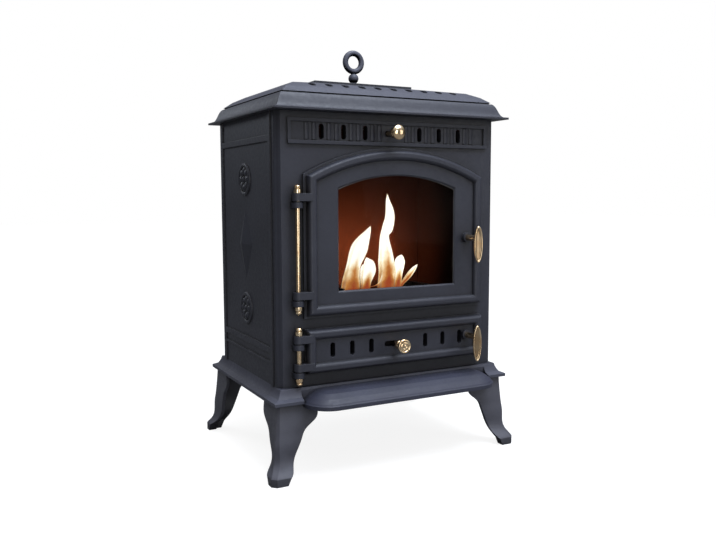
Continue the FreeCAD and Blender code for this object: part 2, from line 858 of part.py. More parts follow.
def front_frame():
    """Front plate with the frieze, both door openings, the slots and the hinge lugs."""
    plate = cut_corner_plate(front, frame_back, body_foot, body_top)
    face = fuse([plate] + frieze_relief_shapes() + frame_lugs())
    tools = [
        door_slab(fire_form, opening_set, front - overrun, wall + 2 * overrun),
        door_slab(ash_form, opening_set, front - overrun, wall + 2 * overrun),
        knob_slot(-frieze_knob_set, frieze_knob_travel, front, slot_mid, wall),
    ]
    for x in frieze_places()[0]:
        tools.append(rounded_slot(slot_height, slot_width, x, front - overrun, slot_mid, wall + 2 * overrun))
    for point in frieze_rail_screw_points():
        start = point - Y_AXIS * rail_screw_depth
        tools.append(bar(rail_screw_radius + turn_fit, start, Y_AXIS, rail_screw_depth))
    for low, high in fire_hinge["frame"] + ash_hinge["frame"]:
        tools.append(lug_bore(low, high))
    return cut(face, tools)


def rosette(z):
    """Round flower in low relief on the outer face of the left panel."""
    face = -half_width
    rim = Part.makeTorus(rosette_radius - rosette_rim, rosette_rim, V(face, 0, z), X_AXIS)
    eye = ball(rosette_eye, V(face + rosette_eye_sink, 0, z))
    shapes = [rim, eye]
    ring = petal_ring_share * rosette_radius
    for i in range(petal_count):
        turn = 2 * math.pi * i / petal_count
        centre = V(face + petal_sink, ring * math.cos(turn), z + ring * math.sin(turn))
        shapes.append(ball(petal_radius, centre))
    return shapes


def diamond(z):
    """Raised diamond with sloping edges on the outer face of the left panel."""
    def outline(x, share):
        half_y = share * diamond_width / 2
        half_z = share * diamond_height / 2
        points = [V(x, 0, z - half_z), V(x, half_y, z), V(x, 0, z + half_z), V(x, -half_y, z)]
        return Part.makePolygon(points + points[:1])
    face = -half_width
    return Part.makeLoft([outline(face, 1), outline(face - diamond_relief, diamond_face_share)], True, True)


def panel_ridges():
    """Low frame of ridges on the outer face of the left panel."""
    outer = -half_width - ridge_relief
    inner = side_wall / 2 - half_width
    edge = inner_back - ridge_side
    top = body_top - ridge_top
    foot = body_foot + ridge_foot
    line = foot - ridge_second
    ridges = [block(outer, inner, -edge, edge, top - ridge_width, top)]
    ridges.append(block(outer, inner, -edge, edge, foot, foot + ridge_width))
    ridges.append(block(outer, inner, -edge, edge, line, line + ridge_line))
    for way in (-1, 1):
        near, far = sorted((way * edge, way * (edge - ridge_width)))
        ridges.append(block(outer, inner, near, far, body_foot, body_top))
    return ridges


def left_side_panel():
    """Side plate with ridges, two rosettes, a diamond, and an inner rib that carries the shelf."""
    plate = block(-half_width, -inner_side, frame_back, inner_back, body_foot, body_top)
    skin = block(-half_width - half_depth, -inner_side, frame_back, inner_back, body_foot, body_top)
    shelf_foot = shelf_top - shelf_thick
    rib = block(-inner_side, shelf_rib - inner_side, frame_back, inner_back,
                shelf_foot - shelf_rib, shelf_foot)
    shapes = [plate, rib, diamond(body_foot + diamond_share * body_height)] + panel_ridges()
    flowers = []
    for share in (rosette_top_share, rosette_foot_share):
        flowers += rosette(body_foot + share * body_height)
    raised = fuse(flowers).common(skin)
    return fuse(shapes + [raised])


def back_panel():
    """Plain back plate with cut corners and a low border."""
    plate = cut_corner_plate(half_depth, inner_back, body_foot, body_top)
    edge = half_width - wall - ridge_side
    low = body_foot + ridge_side
    high = body_top - ridge_side
    face = half_depth + ridge_relief
    border = block(-edge, edge, inner_back, face, low, high)
    field = block(ridge_width - edge, edge - ridge_width, half_depth, face + overrun, low + ridge_width,
                  high - ridge_width)
    return fuse([plate, border.cut(field)])


def top_moulding():
    """Flared top tier: lip, ogee face, floor with the flue opening, rim for the cover."""
    lip_half_x = half_width + lid_side_reach
    lip_half_y = half_depth + lid_front_reach
    lip_top = body_top + lid_lip
    lip = tier([(lip_half_x, lip_half_y, body_top), (lip_half_x, lip_half_y, lip_top)], True)
    rows = []
    for draw_share, rise_share in lid_cove_shares:
        inset = draw_share * lid_draw
        rows.append((lip_half_x - inset, lip_half_y - inset, lip_top + rise_share * (crease_z - lip_top)))
    face = tier(rows)
    well_x = crease_x - lid_rim
    well_y = crease_y - lid_rim
    flue_x = well_x - lid_floor_rim
    flue_y = well_y - lid_floor_rim
    floor_z = body_top + lid_floor
    tools = [
        block(-well_x, well_x, -well_y, well_y, floor_z, crease_z + overrun),
        block(-flue_x, flue_x, -flue_y, flue_y, body_top - overrun, floor_z + overrun),
    ]
    fused = fuse([lip, face] + tie_lands(floor_z))
    tools += tie_bar(tie_rod_radius + seat_gap, body_top - overrun, floor_z + overrun)
    tools[1] = tools[1].cut(Part.makeCompound(tie_lands(floor_z + overrun)))
    return cut(fused, tools)


def tie_lands(top):
    """Corner lands in the floor of the top moulding, one for each tie rod."""
    side = nut_radius - tie_x + seat_gap
    back = nut_radius - tie_y + seat_gap
    return at_corners(block(-inner_side, side, -inner_back, back, body_top, top))


def tie_rods():
    low = body_foot - base_plate_wall - nut_height - thread_end
    high = body_top + lid_floor + nut_height + thread_end
    return Part.makeCompound(tie_bar(tie_rod_radius, low, high))


def tie_rod_nuts():
    """Nuts at both ends of the tie rods."""
    low = V(-tie_x, -tie_y, body_foot - base_plate_wall)
    high = V(-tie_x, -tie_y, body_top + lid_floor)
    bore = tie_rod_radius + turn_fit
    nuts = at_corners(nut(nut_radius, bore, nut_height, low, -Z_AXIS))
    nuts += at_corners(nut(nut_radius, bore, nut_height, high, Z_AXIS))
    return Part.makeCompound(nuts)


# Inside of the firebox

def firebox_shelf():
    """Iron shelf on the ribs of the side panels, with holes for the tie rods."""
    x = inner_side - seat_gap
    shelf = block(-x, x, frame_back + seat_gap, inner_back - seat_gap, shelf_top - shelf_thick, shelf_top)
    low = shelf_top - shelf_thick - overrun
    return cut(shelf, tie_bar(tie_rod_radius + seat_gap, low, shelf_top + overrun))


def rear_liner():
    """Folded plate behind the fire, standing on the shelf with its flanges against the back panel."""
    x = inner_side - liner_side
    face = inner_back - liner_set
    top = body_top - liner_top
    sheet = block(-x, x, face, face + liner_thick, shelf_top, top)
    flanges = [
        block(-x, liner_thick - x, face, inner_back, shelf_top, top),
        block(x - liner_thick, x, face, inner_back, shelf_top, top),
    ]
    return fuse([sheet] + flanges)


def burner_slot_y():
    near = burner_y + burner_slot_set
    return near, near + burner_slot


def burner_box():
    """Folded steel fuel box with a long slot in its top and two rails for the snuffer slide."""
    half = burner_length / 2
    left = door_mid - half
    right = door_mid + half
    far = burner_y + burner_depth
    shell = block(left, right, burner_y, far, shelf_top, burner_top)
    room = block(left + burner_wall, right - burner_wall, burner_y + burner_wall, far - burner_wall,
                 shelf_top + burner_wall, burner_top - burner_wall)
    near_slot, far_slot = burner_slot_y()
    half_slot = burner_slot_length / 2
    slot = block(door_mid - half_slot, door_mid + half_slot, near_slot, far_slot,
                 burner_top - burner_wall - overrun, burner_top + overrun)
    box = shell.cut(room).cut(slot)
    inside = half_slot + lid_slide_lap + slide_gap
    high = burner_top + lid_slide_plate + slide_gap
    rails = []
    for way in (-1, 1):
        foot_x = sorted((door_mid + way * inside, door_mid + way * (inside + lid_rail_wall)))
        lap_x = sorted((door_mid + way * (inside - rail_lap), door_mid + way * (inside + lid_rail_wall)))
        rails.append(block(foot_x[0], foot_x[1], burner_y + burner_wall, far - burner_wall,
                           burner_top - burner_wall, high + lid_rail_wall))
        rails.append(block(lap_x[0], lap_x[1], burner_y + burner_wall, far - burner_wall,
                           high, high + lid_rail_wall))
    return fuse([box] + rails)


def burner_wool():
    """Ceramic wool pad that holds the fuel inside the box."""
    half = burner_length / 2 - burner_wall - seat_gap
    low = shelf_top + burner_wall
    return block(door_mid - half, door_mid + half, burner_y + burner_wall + seat_gap,
                 burner_y + burner_depth - burner_wall - seat_gap, low, low + wool_height)


def snuffer_slide():
    """Plate behind the burner slot with an upright pull tab; it slides forward over the slot."""
    near = burner_slot_y()[1] + lid_slide_rest
    half = burner_slot_length / 2 + lid_slide_lap
    top = burner_top + lid_slide_plate
    plate = block(door_mid - half, door_mid + half, near, near + lid_slide_depth, burner_top, top)
    half_tab = lid_slide_tab_length / 2
    tab = block(door_mid - half_tab, door_mid + half_tab, near, near + lid_slide_plate,
                burner_top, top + lid_slide_tab)
    return fuse([plate, tab])


# Fire door

def fire_door_frame():
    """Arched door casting with the window, the glass rebate, handle boss and hinge straps."""
    casting = door_casting(fire_form, door_flange_width, fire_hinge["door"], fire_handle_z)
    deep = door_field + door_bead + overrun
    bevel = Part.makeLoft([
        door_wire(window_form, -window_bevel, door_face),
        door_wire(window_form, 0, door_face + window_bevel),
    ], True, True)
    tools = [
        door_slab(window_form, 0, door_face - overrun, deep + overrun),
        bevel,
        door_slab(window_form, -rebate_width, door_back - rebate_depth, rebate_depth + overrun),
    ]
    for point in clip_points():
        tools.append(bar(clip_screw_radius + turn_fit, point, -Y_AXIS, clip_screw_depth + seat_gap))
    return cut(casting, tools)


def door_glass():
    y = door_back - rebate_depth + gasket_thick
    return door_slab(window_form, seat_gap - rebate_width, y, glass_thick)


def glass_gasket():
    """Flat tape between the glass and the door."""
    return door_ring(window_form, seat_gap - rebate_width, 0, door_back - rebate_depth, gasket_thick)


def clip_points():
    """Screw places of the glass clips, on the back of the door beside the window."""
    middle, half, foot, crown, bow = window_form
    reach = half + rebate_width + (clip_width - clip_lap) / 2
    spring = crown - bow + math.sqrt(bow ** 2 - half ** 2)
    points = []
    for share in (clip_low_share, clip_high_share):
        z = foot + share * (spring - foot)
        points += [V(middle - reach, door_back, z), V(middle + reach, door_back, z)]
    return points


def glass_clips():
    """Steel strips that press the glass into its rebate, with a foot that reaches down to it."""
    middle, half = window_form[:2]
    glass_y = door_back - rebate_depth + gasket_thick + glass_thick
    clips = []
    for point in clip_points():
        way = 1 if point.x > middle else -1
        inner = middle + way * (half + rebate_width - clip_lap)
        outer = inner + way * clip_width
        foot_x = sorted((inner, inner + way * (clip_lap - seat_gap)))
        strip_x = sorted((inner, outer))
        low = point.z - clip_length / 2
        high = point.z + clip_length / 2
        strip = block(strip_x[0], strip_x[1], door_back, door_back + clip_thick, low, high)
        foot = block(foot_x[0], foot_x[1], glass_y, door_back + clip_thick, low, high)
        hole = bar(clip_screw_radius + turn_fit, point - Y_AXIS * overrun, Y_AXIS, clip_thick + 2 * overrun)
        clips.append(fuse([strip, foot]).cut(hole))
    return Part.makeCompound(clips)


def clip_screws():
    screws = []
    for point in clip_points():
        start = point - Y_AXIS * clip_screw_depth
        shank = bar(clip_screw_radius, start, Y_AXIS, clip_screw_depth + clip_thick)
        head = bar(clip_head_radius, point + Y_AXIS * clip_thick, Y_AXIS, clip_head)
        screws.append(fuse([shank, head]))
    return Part.makeCompound(screws)


# Handles

def spindle_bore(z):
    length = handle_boss + door_field + 2 * overrun
    return bar(spindle_radius + turn_fit, V(handle_x, door_back + overrun, z), -Y_AXIS, length)


def grip_back():
    return door_face - handle_stand


def handle_grip(z):
    """Oval brass grip: lens with a raised rim and a hollow face, on a turned collar."""
    y = grip_back()
    middle = V(handle_x, y, z + grip_above - grip_length / 2)

    def oval(shrink, plane, depth):
        centre = V(middle.x, plane, middle.z)
        curve = Part.Ellipse(centre + Z_AXIS * (grip_length / 2 - shrink),
                             centre + X_AXIS * (grip_width / 2 - shrink), centre)
        return Part.Face(Part.Wire([curve.toShape()])).extrude(V(0, -depth, 0))

    body = oval(0, y, grip_thick)
    hollow = oval(grip_rim, y - grip_thick + grip_dish, grip_dish + overrun)
    collar = bar(grip_collar_radius, V(handle_x, y, z), Y_AXIS, grip_collar)
    neck_length = handle_stand - handle_boss - seat_gap
    neck = bar(grip_neck_radius, V(handle_x, y, z), Y_AXIS, neck_length)
    socket = bar(spindle_radius + turn_fit, V(handle_x, y - grip_socket, z), Y_AXIS, handle_stand)
    rounded = body.makeFillet(grip_dish, body.Edges)
    return fuse([rounded.cut(hollow), collar, neck]).cut(socket)


def handle_spindle(z, cam_stand):
    """Steel pin from the grip through the door to the latch cam and its nut."""
    start = grip_back() - grip_socket
    end = door_back + cam_stand + cam_thick + nut_height + thread_end
    return bar(spindle_radius, V(handle_x, start, z), Y_AXIS, end - start)


def latch_cam(z, cam_stand):
    """Cam behind the door with a nose that stops short of the frame."""
    y = door_back + cam_stand
    reach = door_right - opening_set - cam_play - handle_x
    hub = bar(cam_radius, V(handle_x, y, z), Y_AXIS, cam_thick)
    nose_half = cam_radius / 2
    nose = block(handle_x, handle_x + reach, y, y + cam_thick, z - nose_half, z + nose_half)
    bore = bar(spindle_radius + turn_fit, V(handle_x, y - overrun, z), Y_AXIS, cam_thick + 2 * overrun)
    return fuse([hub, nose]).cut(bore)


def latch_nut(z, cam_stand):
    start = V(handle_x, door_back + cam_stand + cam_thick, z)
    return nut(nut_radius, spindle_radius + turn_fit, nut_height, start, Y_AXIS)


# Ash door

def ash_slots():
    """Places of the ash door's slots, spread so that the slide's travel ends inside the frame opening."""
    travelled = door_half - opening_set - ash_slide_clear - ash_knob_travel
    last = travelled - slide_end - slot_width / 2
    pitch = (last - ash_slot_first) / max(slots_a_side - 1, 1)
    places = []
    for i in range(slots_a_side):
        reach = ash_slot_first + i * pitch
        places += [door_mid - reach, door_mid + reach]
    return places


def ash_knob_x():
    return door_mid - ash_knob_set


def ash_door_panel():
    """Low door casting with air slots and the knob slot."""
    casting = door_casting(ash_form, ash_flange_width, ash_hinge["door"], ash_handle_z)
    tools = [knob_slot(ash_knob_x(), -ash_knob_travel, door_face, ash_mid, door_field)]
    for x in ash_slots():
        tools.append(rounded_slot(slot_height, slot_width, x, door_face - overrun, ash_mid,
                                  door_field + 2 * overrun))
    return cut(casting, tools)


# Air slides

def air_plate_ends(places, travel):
    """Left and right end of a sliding plate that covers every slot once it has travelled."""
    end = slot_width / 2 + slide_end
    return min(places) - end - max(travel, 0), max(places) + end - min(travel, 0)


def air_plate(places, x_knob, travel, y, z, margin):
    """Sliding plate with a slot behind each air slot and a hole for the knob's stem."""
    left, right = air_plate_ends(places, travel)
    half_height = slot_height / 2 + margin
    plate = block(left, right, y, y + slide_plate, z - half_height, z + half_height)
    start = y - overrun
    through = slide_plate + 2 * overrun
    tools = [rounded_slot(slot_height, slot_width, x, start, z, through) for x in places]
    tools.append(bar(knob_stem_radius + turn_fit, V(x_knob, start, z), Y_AXIS, through))
    return cut(plate, tools)


def air_rails(places, travel, y, z, margin, height):
    """Upper and lower rail with a lip that holds the sliding plate."""
    ends = air_plate_ends(places, travel)
    left = ends[0] + min(travel, 0)
    right = ends[1] + max(travel, 0)
    deep = slide_plate + 2 * slide_gap
    rails = []
    for way in (-1, 1):
        near = z + way * (slot_height / 2 + margin + slide_gap)
        lap = near - way * rail_lap
        far = near + way * height
        foot_z = sorted((near, far))
        lip_z = sorted((lap, far))
        foot = block(left, right, y, y + deep, foot_z[0], foot_z[1])
        lip = block(left, right, y + deep, y + deep + rail_lip, lip_z[0], lip_z[1])
        rails.append(fuse([foot, lip]))
    return rails


def frieze_rail_screw_points():
    """Screw places of the frieze rails on the back of the front frame."""
    places = frieze_places()[0]
    reach = rail_screw_share * max(places)
    off = slot_height / 2 + slide_margin + slide_gap + rail_height / 2
    return [V(x, frame_back, slot_mid + way * off) for way in (-1, 1) for x in (-reach, reach)]


def frieze_slide_rails():
    places = frieze_places()[0]
    rails = air_rails(places, frieze_knob_travel, frame_back, slot_mid, slide_margin, rail_height)
    deep = slide_plate + 2 * slide_gap + rail_lip
    radius = rail_screw_radius + turn_fit
    holes = [bar(radius, point, Y_AXIS, deep + overrun) for point in frieze_rail_screw_points()]
    return Part.makeCompound([rail.cut(Part.makeCompound(holes)) for rail in rails])


def frieze_rail_screws():
    deep = slide_plate + 2 * slide_gap + rail_lip
    screws = []
    for point in frieze_rail_screw_points():
        length = rail_screw_depth - seat_gap
        shank = bar(rail_screw_radius, point - Y_AXIS * length, Y_AXIS, length + deep)
        head = bar(rail_screw_head, point + Y_AXIS * deep, Y_AXIS, rail_screw_head_height)
        screws.append(fuse([shank, head]))
    return Part.makeCompound(screws)


def frieze_slide_plate():
    y = frame_back + slide_gap
    return air_plate(frieze_places()[0], -frieze_knob_set, frieze_knob_travel, y, slot_mid, slide_margin)


def ash_slide_plate():
    """Sliding plate of the ash door, forked at its right end round the handle's spindle."""
    y = door_back + slide_gap
    plate = air_plate(ash_slots(), ash_knob_x(), -ash_knob_travel, y, ash_mid, ash_slide_margin)
    half = spindle_radius + knob_slot_play
    right = max(air_plate_ends(ash_slots(), -ash_knob_travel)[1], handle_x)
    fork = block(handle_x - half, right + overrun, y - overrun, y + slide_plate + overrun,
                 ash_handle_z - half, ash_handle_z + half)
    return plate.cut(fork)


def ash_slide_rails():
    rails = air_rails(ash_slots(), -ash_knob_travel, door_back, ash_mid, ash_slide_margin, ash_rail_height)
    return Part.makeCompound(rails)


def knob(x, face, plate_back, z, flat):
    """Turned brass knob: ball or flattened head, collar and a stem that runs through the sliding plate."""
    centre = V(x, face - knob_stand, z)
    head = ball(knob_radius, V(0, 0, 0))
    squash = FreeCAD.Matrix()
    squash.scale(1, flat, 1)
    head = head.transformGeometry(squash) if flat < 1 else head
    head.translate(centre)
    collar_y = face - knob_slot_play
    collar = bar(knob_collar_radius, V(x, collar_y, z), -Y_AXIS, knob_collar)
    end = plate_back + knob_nut_height + thread_end
    stem = bar(knob_stem_radius, centre, Y_AXIS, end - centre.y)
    return fuse([head, collar, stem])


def frieze_knob():
    back = frame_back + slide_gap + slide_plate
    return knob(-frieze_knob_set, front - flute_relief, back, slot_mid, 1)


def ash_knob():
    back = door_back + slide_gap + slide_plate
    return knob(ash_knob_x(), door_face, back, ash_mid, knob_face_share)


def knob_nut(x, plate_back, z):
    return nut(knob_nut_radius, knob_stem_radius + turn_fit, knob_nut_height, V(x, plate_back, z), Y_AXIS)


# Cover

def roof(lift):
    """Hipped roof solid from the eave to the top panel, moved up by lift."""
    bulge_in = cover_bulge_in_share * cover_break
    rows = [
        (eave_x, eave_y, eave_z),
        (eave_x - bulge_in, eave_y - bulge_in, eave_z + cover_bulge_share * cover_rise),
        (eave_x - cover_break, eave_y - cover_break, break_z),
        (panel_half_x, panel_half_y, roof_z),
    ]
    lower = tier(rows, True)
    panel = tier([(panel_half_x, panel_half_y, roof_z), (panel_half_x, panel_half_y, panel_z)], True)
    solid = fuse([lower, panel])
    solid.translate(V(0, 0, lift))
    return solid


def level_slot(length, width, x, y, low, high):
    """Upright tool for a slot that runs front to back, with round ends."""
    radius = width / 2
    half = length / 2 - radius
    middle = block(x - radius, x + radius, y - half, y + half, low, high)
    ends = [bar(radius, V(x, y + way * half, low), Z_AXIS, high - low) for way in (-1, 1)]
    return fuse([middle] + ends)


def cover_vents():
    """Slots along the break of the roof, front and back, and a closer row behind the top panel."""
    low = eave_z - overrun
    high = panel_z + overrun
    break_y = eave_y - cover_break
    middle = break_y + vent_up_share * vent_length - vent_length / 2
    tools = []
    for i in range(vents_a_side):
        x = (i + 1) * vent_pitch - vent_pitch / 2
        for side in (-1, 1):
            for way in (-1, 1):
                tools.append(level_slot(vent_length, vent_width, side * x, way * middle, low, high))
    rear = panel_half_y + rear_vent_set + rear_vent_length / 2
    for i in range(-rear_vents_a_side, rear_vents_a_side + 1):
        tools.append(level_slot(rear_vent_length, rear_vent_width, i * rear_vent_pitch, rear, low, high))
    return tools


def cover_guide():
    """Skirt inside the rim of the top moulding, open in front."""
    half_x = crease_x - lid_rim - seat_gap
    half_y = crease_y - lid_rim - seat_gap
    low = crease_z - guide_drop
    high = eave_z + cover_wall
    outer = block(-half_x, half_x, -half_y, half_y, low, high)
    inner = block(guide_wall - half_x, half_x - guide_wall, guide_wall - half_y, half_y - guide_wall,
                  low - overrun, high + overrun)
    notch = block(-guide_notch, guide_notch, -half_y - overrun, guide_wall - half_y + overrun, low - overrun,
                  eave_z + cover_gap)
    back_notch = mirrored_y(notch)
    return outer.cut(inner).cut(notch).cut(back_notch)


def cover_pads():
    """Small feet at the corners that carry the cover on the rim."""
    outer_x = eave_x - cover_gap
    outer_y = eave_y - cover_gap
    pad = block(-outer_x, cover_pad - outer_x, -outer_y, guide_wall - outer_y, crease_z, eave_z + cover_gap)
    return at_corners(pad)


def top_cover():
    """Lift-off roof shell with vents, guide skirt and feet, bored for the lifting ring."""
    shell = roof(0).cut(roof(-cover_wall))
    skirt = cover_guide().common(fuse([roof(0), roof(-cover_wall), block(-eave_x, eave_x, -eave_y, eave_y,
                                       crease_z - guide_drop, eave_z)]))
    whole = fuse([shell, skirt] + cover_pads())
    bore = bar(ring_stem_radius + turn_fit, V(0, 0, eave_z), Z_AXIS, panel_z - eave_z + overrun)
    return cut(whole, cover_vents() + [bore])


def lifting_ring():
    """Cast ring on a ball and neck, with a stem through the cover."""
    neck_top = panel_z + ring_neck
    ball_z = neck_top + ring_ball_radius - ring_lap
    ring_z = ball_z + ring_ball_radius + ring_radius + ring_wire - ring_lap
    eye = Part.makeTorus(ring_radius, ring_wire, V(0, 0, ring_z), Y_AXIS)
    neck = bar(ring_neck_radius, V(0, 0, panel_z), Z_AXIS, ring_neck)
    foot = bar(ring_washer_radius, V(0, 0, panel_z), Z_AXIS, ring_neck / 2)
    low = panel_z - cover_wall - nut_height - thread_end
    stem = bar(ring_stem_radius, V(0, 0, low), Z_AXIS, panel_z - low + ring_neck)
    return fuse([eye, ball(ring_ball_radius, V(0, 0, ball_z)), neck, foot, stem])


def ring_nut():
    start = V(0, 0, panel_z - cover_wall)
    return nut(nut_radius, ring_stem_radius + turn_fit, nut_height, start, -Z_AXIS)


def all_nodes():
    """Every sub-part under its own name."""
    legs = at_corners(front_left_leg())
    left = left_side_panel()
    frieze_back = frame_back + slide_gap + slide_plate
    ash_back = door_back + slide_gap + slide_plate
    fire_cam_stand = seat_gap
    ash_cam_stand = slide_plate + 3 * slide_gap + rail_lip
    return {
        "base_plate": base_plate(),
        "hearth_ledge": hearth_ledge(),
        "ledge_screws": ledge_screws(),
        "front_left_leg": legs[0],
        "front_right_leg": legs[1],
        "rear_left_leg": legs[2],
        "rear_right_leg": legs[3],
        "leg_bolts": Part.makeCompound(at_corners(leg_bolt())),
        "front_frame": front_frame(),
        "left_side_panel": left,
        "right_side_panel": mirrored_x(left),
        "back_panel": back_panel(),
        "top_moulding": top_moulding(),
        "tie_rods": tie_rods(),
        "tie_rod_nuts": tie_rod_nuts(),
        "firebox_shelf": firebox_shelf(),
        "rear_liner": rear_liner(),
        "burner_box": burner_box(),
        "burner_wool": burner_wool(),
        "snuffer_slide": snuffer_slide(),
        "upper_hinge_rod": hinge_rod(fire_hinge),
        "lower_hinge_rod": hinge_rod(ash_hinge),
        "hinge_caps": hinge_caps(),
        "hinge_washers": hinge_washers(),
        "fire_door_frame": fire_door_frame(),
        "fire_door_rope": rope(fire_form),
        "door_glass": door_glass(),
        "glass_gasket": glass_gasket(),
        "glass_clips": glass_clips(),
        "clip_screws": clip_screws(),
        "fire_handle_grip": handle_grip(fire_handle_z),
        "fire_handle_spindle": handle_spindle(fire_handle_z, fire_cam_stand),
        "fire_latch_cam": latch_cam(fire_handle_z, fire_cam_stand),
        "fire_latch_nut": latch_nut(fire_handle_z, fire_cam_stand),
        "ash_door_panel": ash_door_panel(),
        "ash_door_rope": rope(ash_form),
        "ash_slide_rails": ash_slide_rails(),
        "ash_handle_grip": handle_grip(ash_handle_z),
        "ash_handle_spindle": handle_spindle(ash_handle_z, ash_cam_stand),
        "ash_latch_cam": latch_cam(ash_handle_z, ash_cam_stand),
        "ash_latch_nut": latch_nut(ash_handle_z, ash_cam_stand),
        "ash_slide_plate": ash_slide_plate(),
        "ash_knob": ash_knob(),
        "ash_knob_nut": knob_nut(ash_knob_x(), ash_back, ash_mid),
        "frieze_slide_rails": frieze_slide_rails(),
        "frieze_rail_screws": frieze_rail_screws(),
        "frieze_slide_plate": frieze_slide_plate(),
        "frieze_knob": frieze_knob(),
        "frieze_knob_nut": knob_nut(-frieze_knob_set, frieze_back, slot_mid),
        "top_cover": top_cover(),
        "lifting_ring": lifting_ring(),
        "ring_nut": ring_nut(),
    }


os.makedirs("parts", exist_ok=True)
for name, shape in all_nodes().items():
    shape.translate(V(0, stand_y, 0))
    shape.exportStep("parts/" + name + ".step")
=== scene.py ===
import json
import math

import bpy
import numpy as np
from mathutils import Matrix, Vector


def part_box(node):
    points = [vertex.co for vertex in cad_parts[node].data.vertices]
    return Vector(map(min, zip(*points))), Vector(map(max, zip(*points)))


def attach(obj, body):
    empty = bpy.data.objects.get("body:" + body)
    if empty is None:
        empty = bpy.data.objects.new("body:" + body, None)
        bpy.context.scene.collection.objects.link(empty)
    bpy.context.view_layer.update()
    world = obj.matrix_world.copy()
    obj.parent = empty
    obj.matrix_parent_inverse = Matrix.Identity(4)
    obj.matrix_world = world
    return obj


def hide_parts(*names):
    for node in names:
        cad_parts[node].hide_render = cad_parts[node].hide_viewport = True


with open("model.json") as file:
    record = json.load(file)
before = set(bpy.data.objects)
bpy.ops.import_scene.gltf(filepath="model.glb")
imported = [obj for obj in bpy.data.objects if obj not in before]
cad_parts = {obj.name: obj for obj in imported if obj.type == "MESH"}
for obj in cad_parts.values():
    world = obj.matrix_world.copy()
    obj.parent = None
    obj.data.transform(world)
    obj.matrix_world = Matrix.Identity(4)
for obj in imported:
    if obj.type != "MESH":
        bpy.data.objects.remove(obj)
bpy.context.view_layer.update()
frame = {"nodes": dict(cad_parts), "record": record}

MM_PER_METRE = 1000

# Camera of the photograph, in metres and degrees, in the frame of the stove
PHOTO_WIDTH = 716
PHOTO_FOCAL_PIXELS = 764.75
SENSOR_WIDTH = 36.0
CAMERA_PLACE = (-0.6730, -1.29035, 0.4712)
CAMERA_YAW = 27.575       # from the stove's depth axis towards its right
CAMERA_PITCH = -5.63
CAMERA_ROLL = -0.20
CAMERA_NEAR = 0.05

# Colours, linear
IRON_DARK = (0.0205, 0.0220, 0.0335, 1)
IRON_PALE = (0.0300, 0.0320, 0.0475, 1)
IRON_WEAR_AND_HIGHLIGHT = (0.090, 0.098, 0.130, 1)
# Copies of the body iron: paler ones with painted light, then a darker one with painted shade
LIT_LEG_DARK = (0.062, 0.063, 0.082, 1)
LIT_LEG_PALE = (0.094, 0.095, 0.119, 1)
LIT_BASE_DARK = (0.045, 0.047, 0.069, 1)
LIT_BASE_PALE = (0.066, 0.069, 0.098, 1)
LIT_LEDGE_DARK = (0.024, 0.026, 0.045, 1)
LIT_LEDGE_PALE = (0.035, 0.038, 0.064, 1)
LIT_COVER_DARK = (0.030, 0.033, 0.050, 1)
LIT_COVER_PALE = (0.044, 0.047, 0.071, 1)
SHADED_DARK = (0.008, 0.009, 0.015, 1)
SHADED_PALE = (0.013, 0.014, 0.023, 1)
IRON_SOOT = (0.012, 0.010, 0.009, 1)
SOOT_AND_SHADE_BLACK = (0.0018, 0.0020, 0.0024, 1)
PAINTED_CREVICE_SHADE = (0.006, 0.006, 0.008, 1)
BRASS_WARM = (0.64, 0.43, 0.24, 1)
BRASS_PALE = (0.80, 0.66, 0.45, 1)
BRASS_SHADE = (0.22, 0.13, 0.06, 1)
STEEL_GREY = (0.40, 0.40, 0.41, 1)
STEEL_PALE = (0.55, 0.55, 0.56, 1)
BURNER_BROWN = (0.16, 0.11, 0.08, 1)
BURNER_BLUE = (0.20, 0.21, 0.25, 1)
ROPE_GREY = (0.16, 0.16, 0.16, 1)
ROPE_DARK = (0.06, 0.06, 0.06, 1)
WOOL_WHITE = (0.80, 0.77, 0.71, 1)
WOOL_SOOT = (0.34, 0.30, 0.26, 1)
FLAME_CORE = (0.68, 0.135, 0.05, 1)
FLAME_ORANGE = (1.0, 0.42, 0.10, 1)
FLAME_PALE = (1.0, 0.80, 0.46, 1)
FLAME_WHITE = (1.0, 0.94, 0.80, 1)
PAINTED_GLARE_COLOUR = (0.80, 0.11, 0.02, 1)
FLOOR_SEEN = (0.30, 0.30, 0.30, 1)
FLOOR_BOUNCE = (0.22, 0.22, 0.22, 1)
STUDIO_WHITE = (1.0, 1.0, 1.0, 1)

# Faces of the solids that looks are placed from, in metres
FRONT_LOW, FRONT_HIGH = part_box("front_frame")
BACK_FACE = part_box("back_panel")[0].y
BURNER_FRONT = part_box("burner_box")[0].y
SLOT_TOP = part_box("snuffer_slide")[0].z    # the snuffer lies on the burner's top plate


# Node helpers

RISING = (0.0, 1.0)
FALLING = (1.0, 0.0)
NOISE_SPAN = (0.3, 0.7)   # where nearly all of a noise lies
# Sockets of a colour mix, which share their names with those of other kinds of mix
MIX_FACTOR, MIX_FIRST, MIX_SECOND = 0, 6, 7
MIX_RESULT = 2
SHELTER_SAMPLES = 6


def fill(tree, node, inputs):
    """Numbers and colours set on a node's sockets, and other nodes' sockets linked to them."""
    for key, value in inputs.items():
        if isinstance(value, bpy.types.NodeSocket):
            tree.links.new(value, node.inputs[key])
        else:
            node.inputs[key].default_value = value


def add(tree, kind, inputs=None, **settings):
    """New shader node with its settings and inputs."""
    node = tree.nodes.new(kind)
    for key, value in settings.items():
        setattr(node, key, value)
    fill(tree, node, inputs or {})
    return node


def blank(name):
    """Material with an empty node tree and its output node."""
    made = bpy.data.materials.new(name)
    made.use_nodes = True
    made.node_tree.nodes.clear()
    return made, made.node_tree, add(made.node_tree, "ShaderNodeOutputMaterial")


def principled(name):
    """Material with a general shader on its output."""
    made, tree, output = blank(name)
    shader = add(tree, "ShaderNodeBsdfPrincipled")
    fill(tree, output, {"Surface": shader.outputs["BSDF"]})
    return made, tree, shader


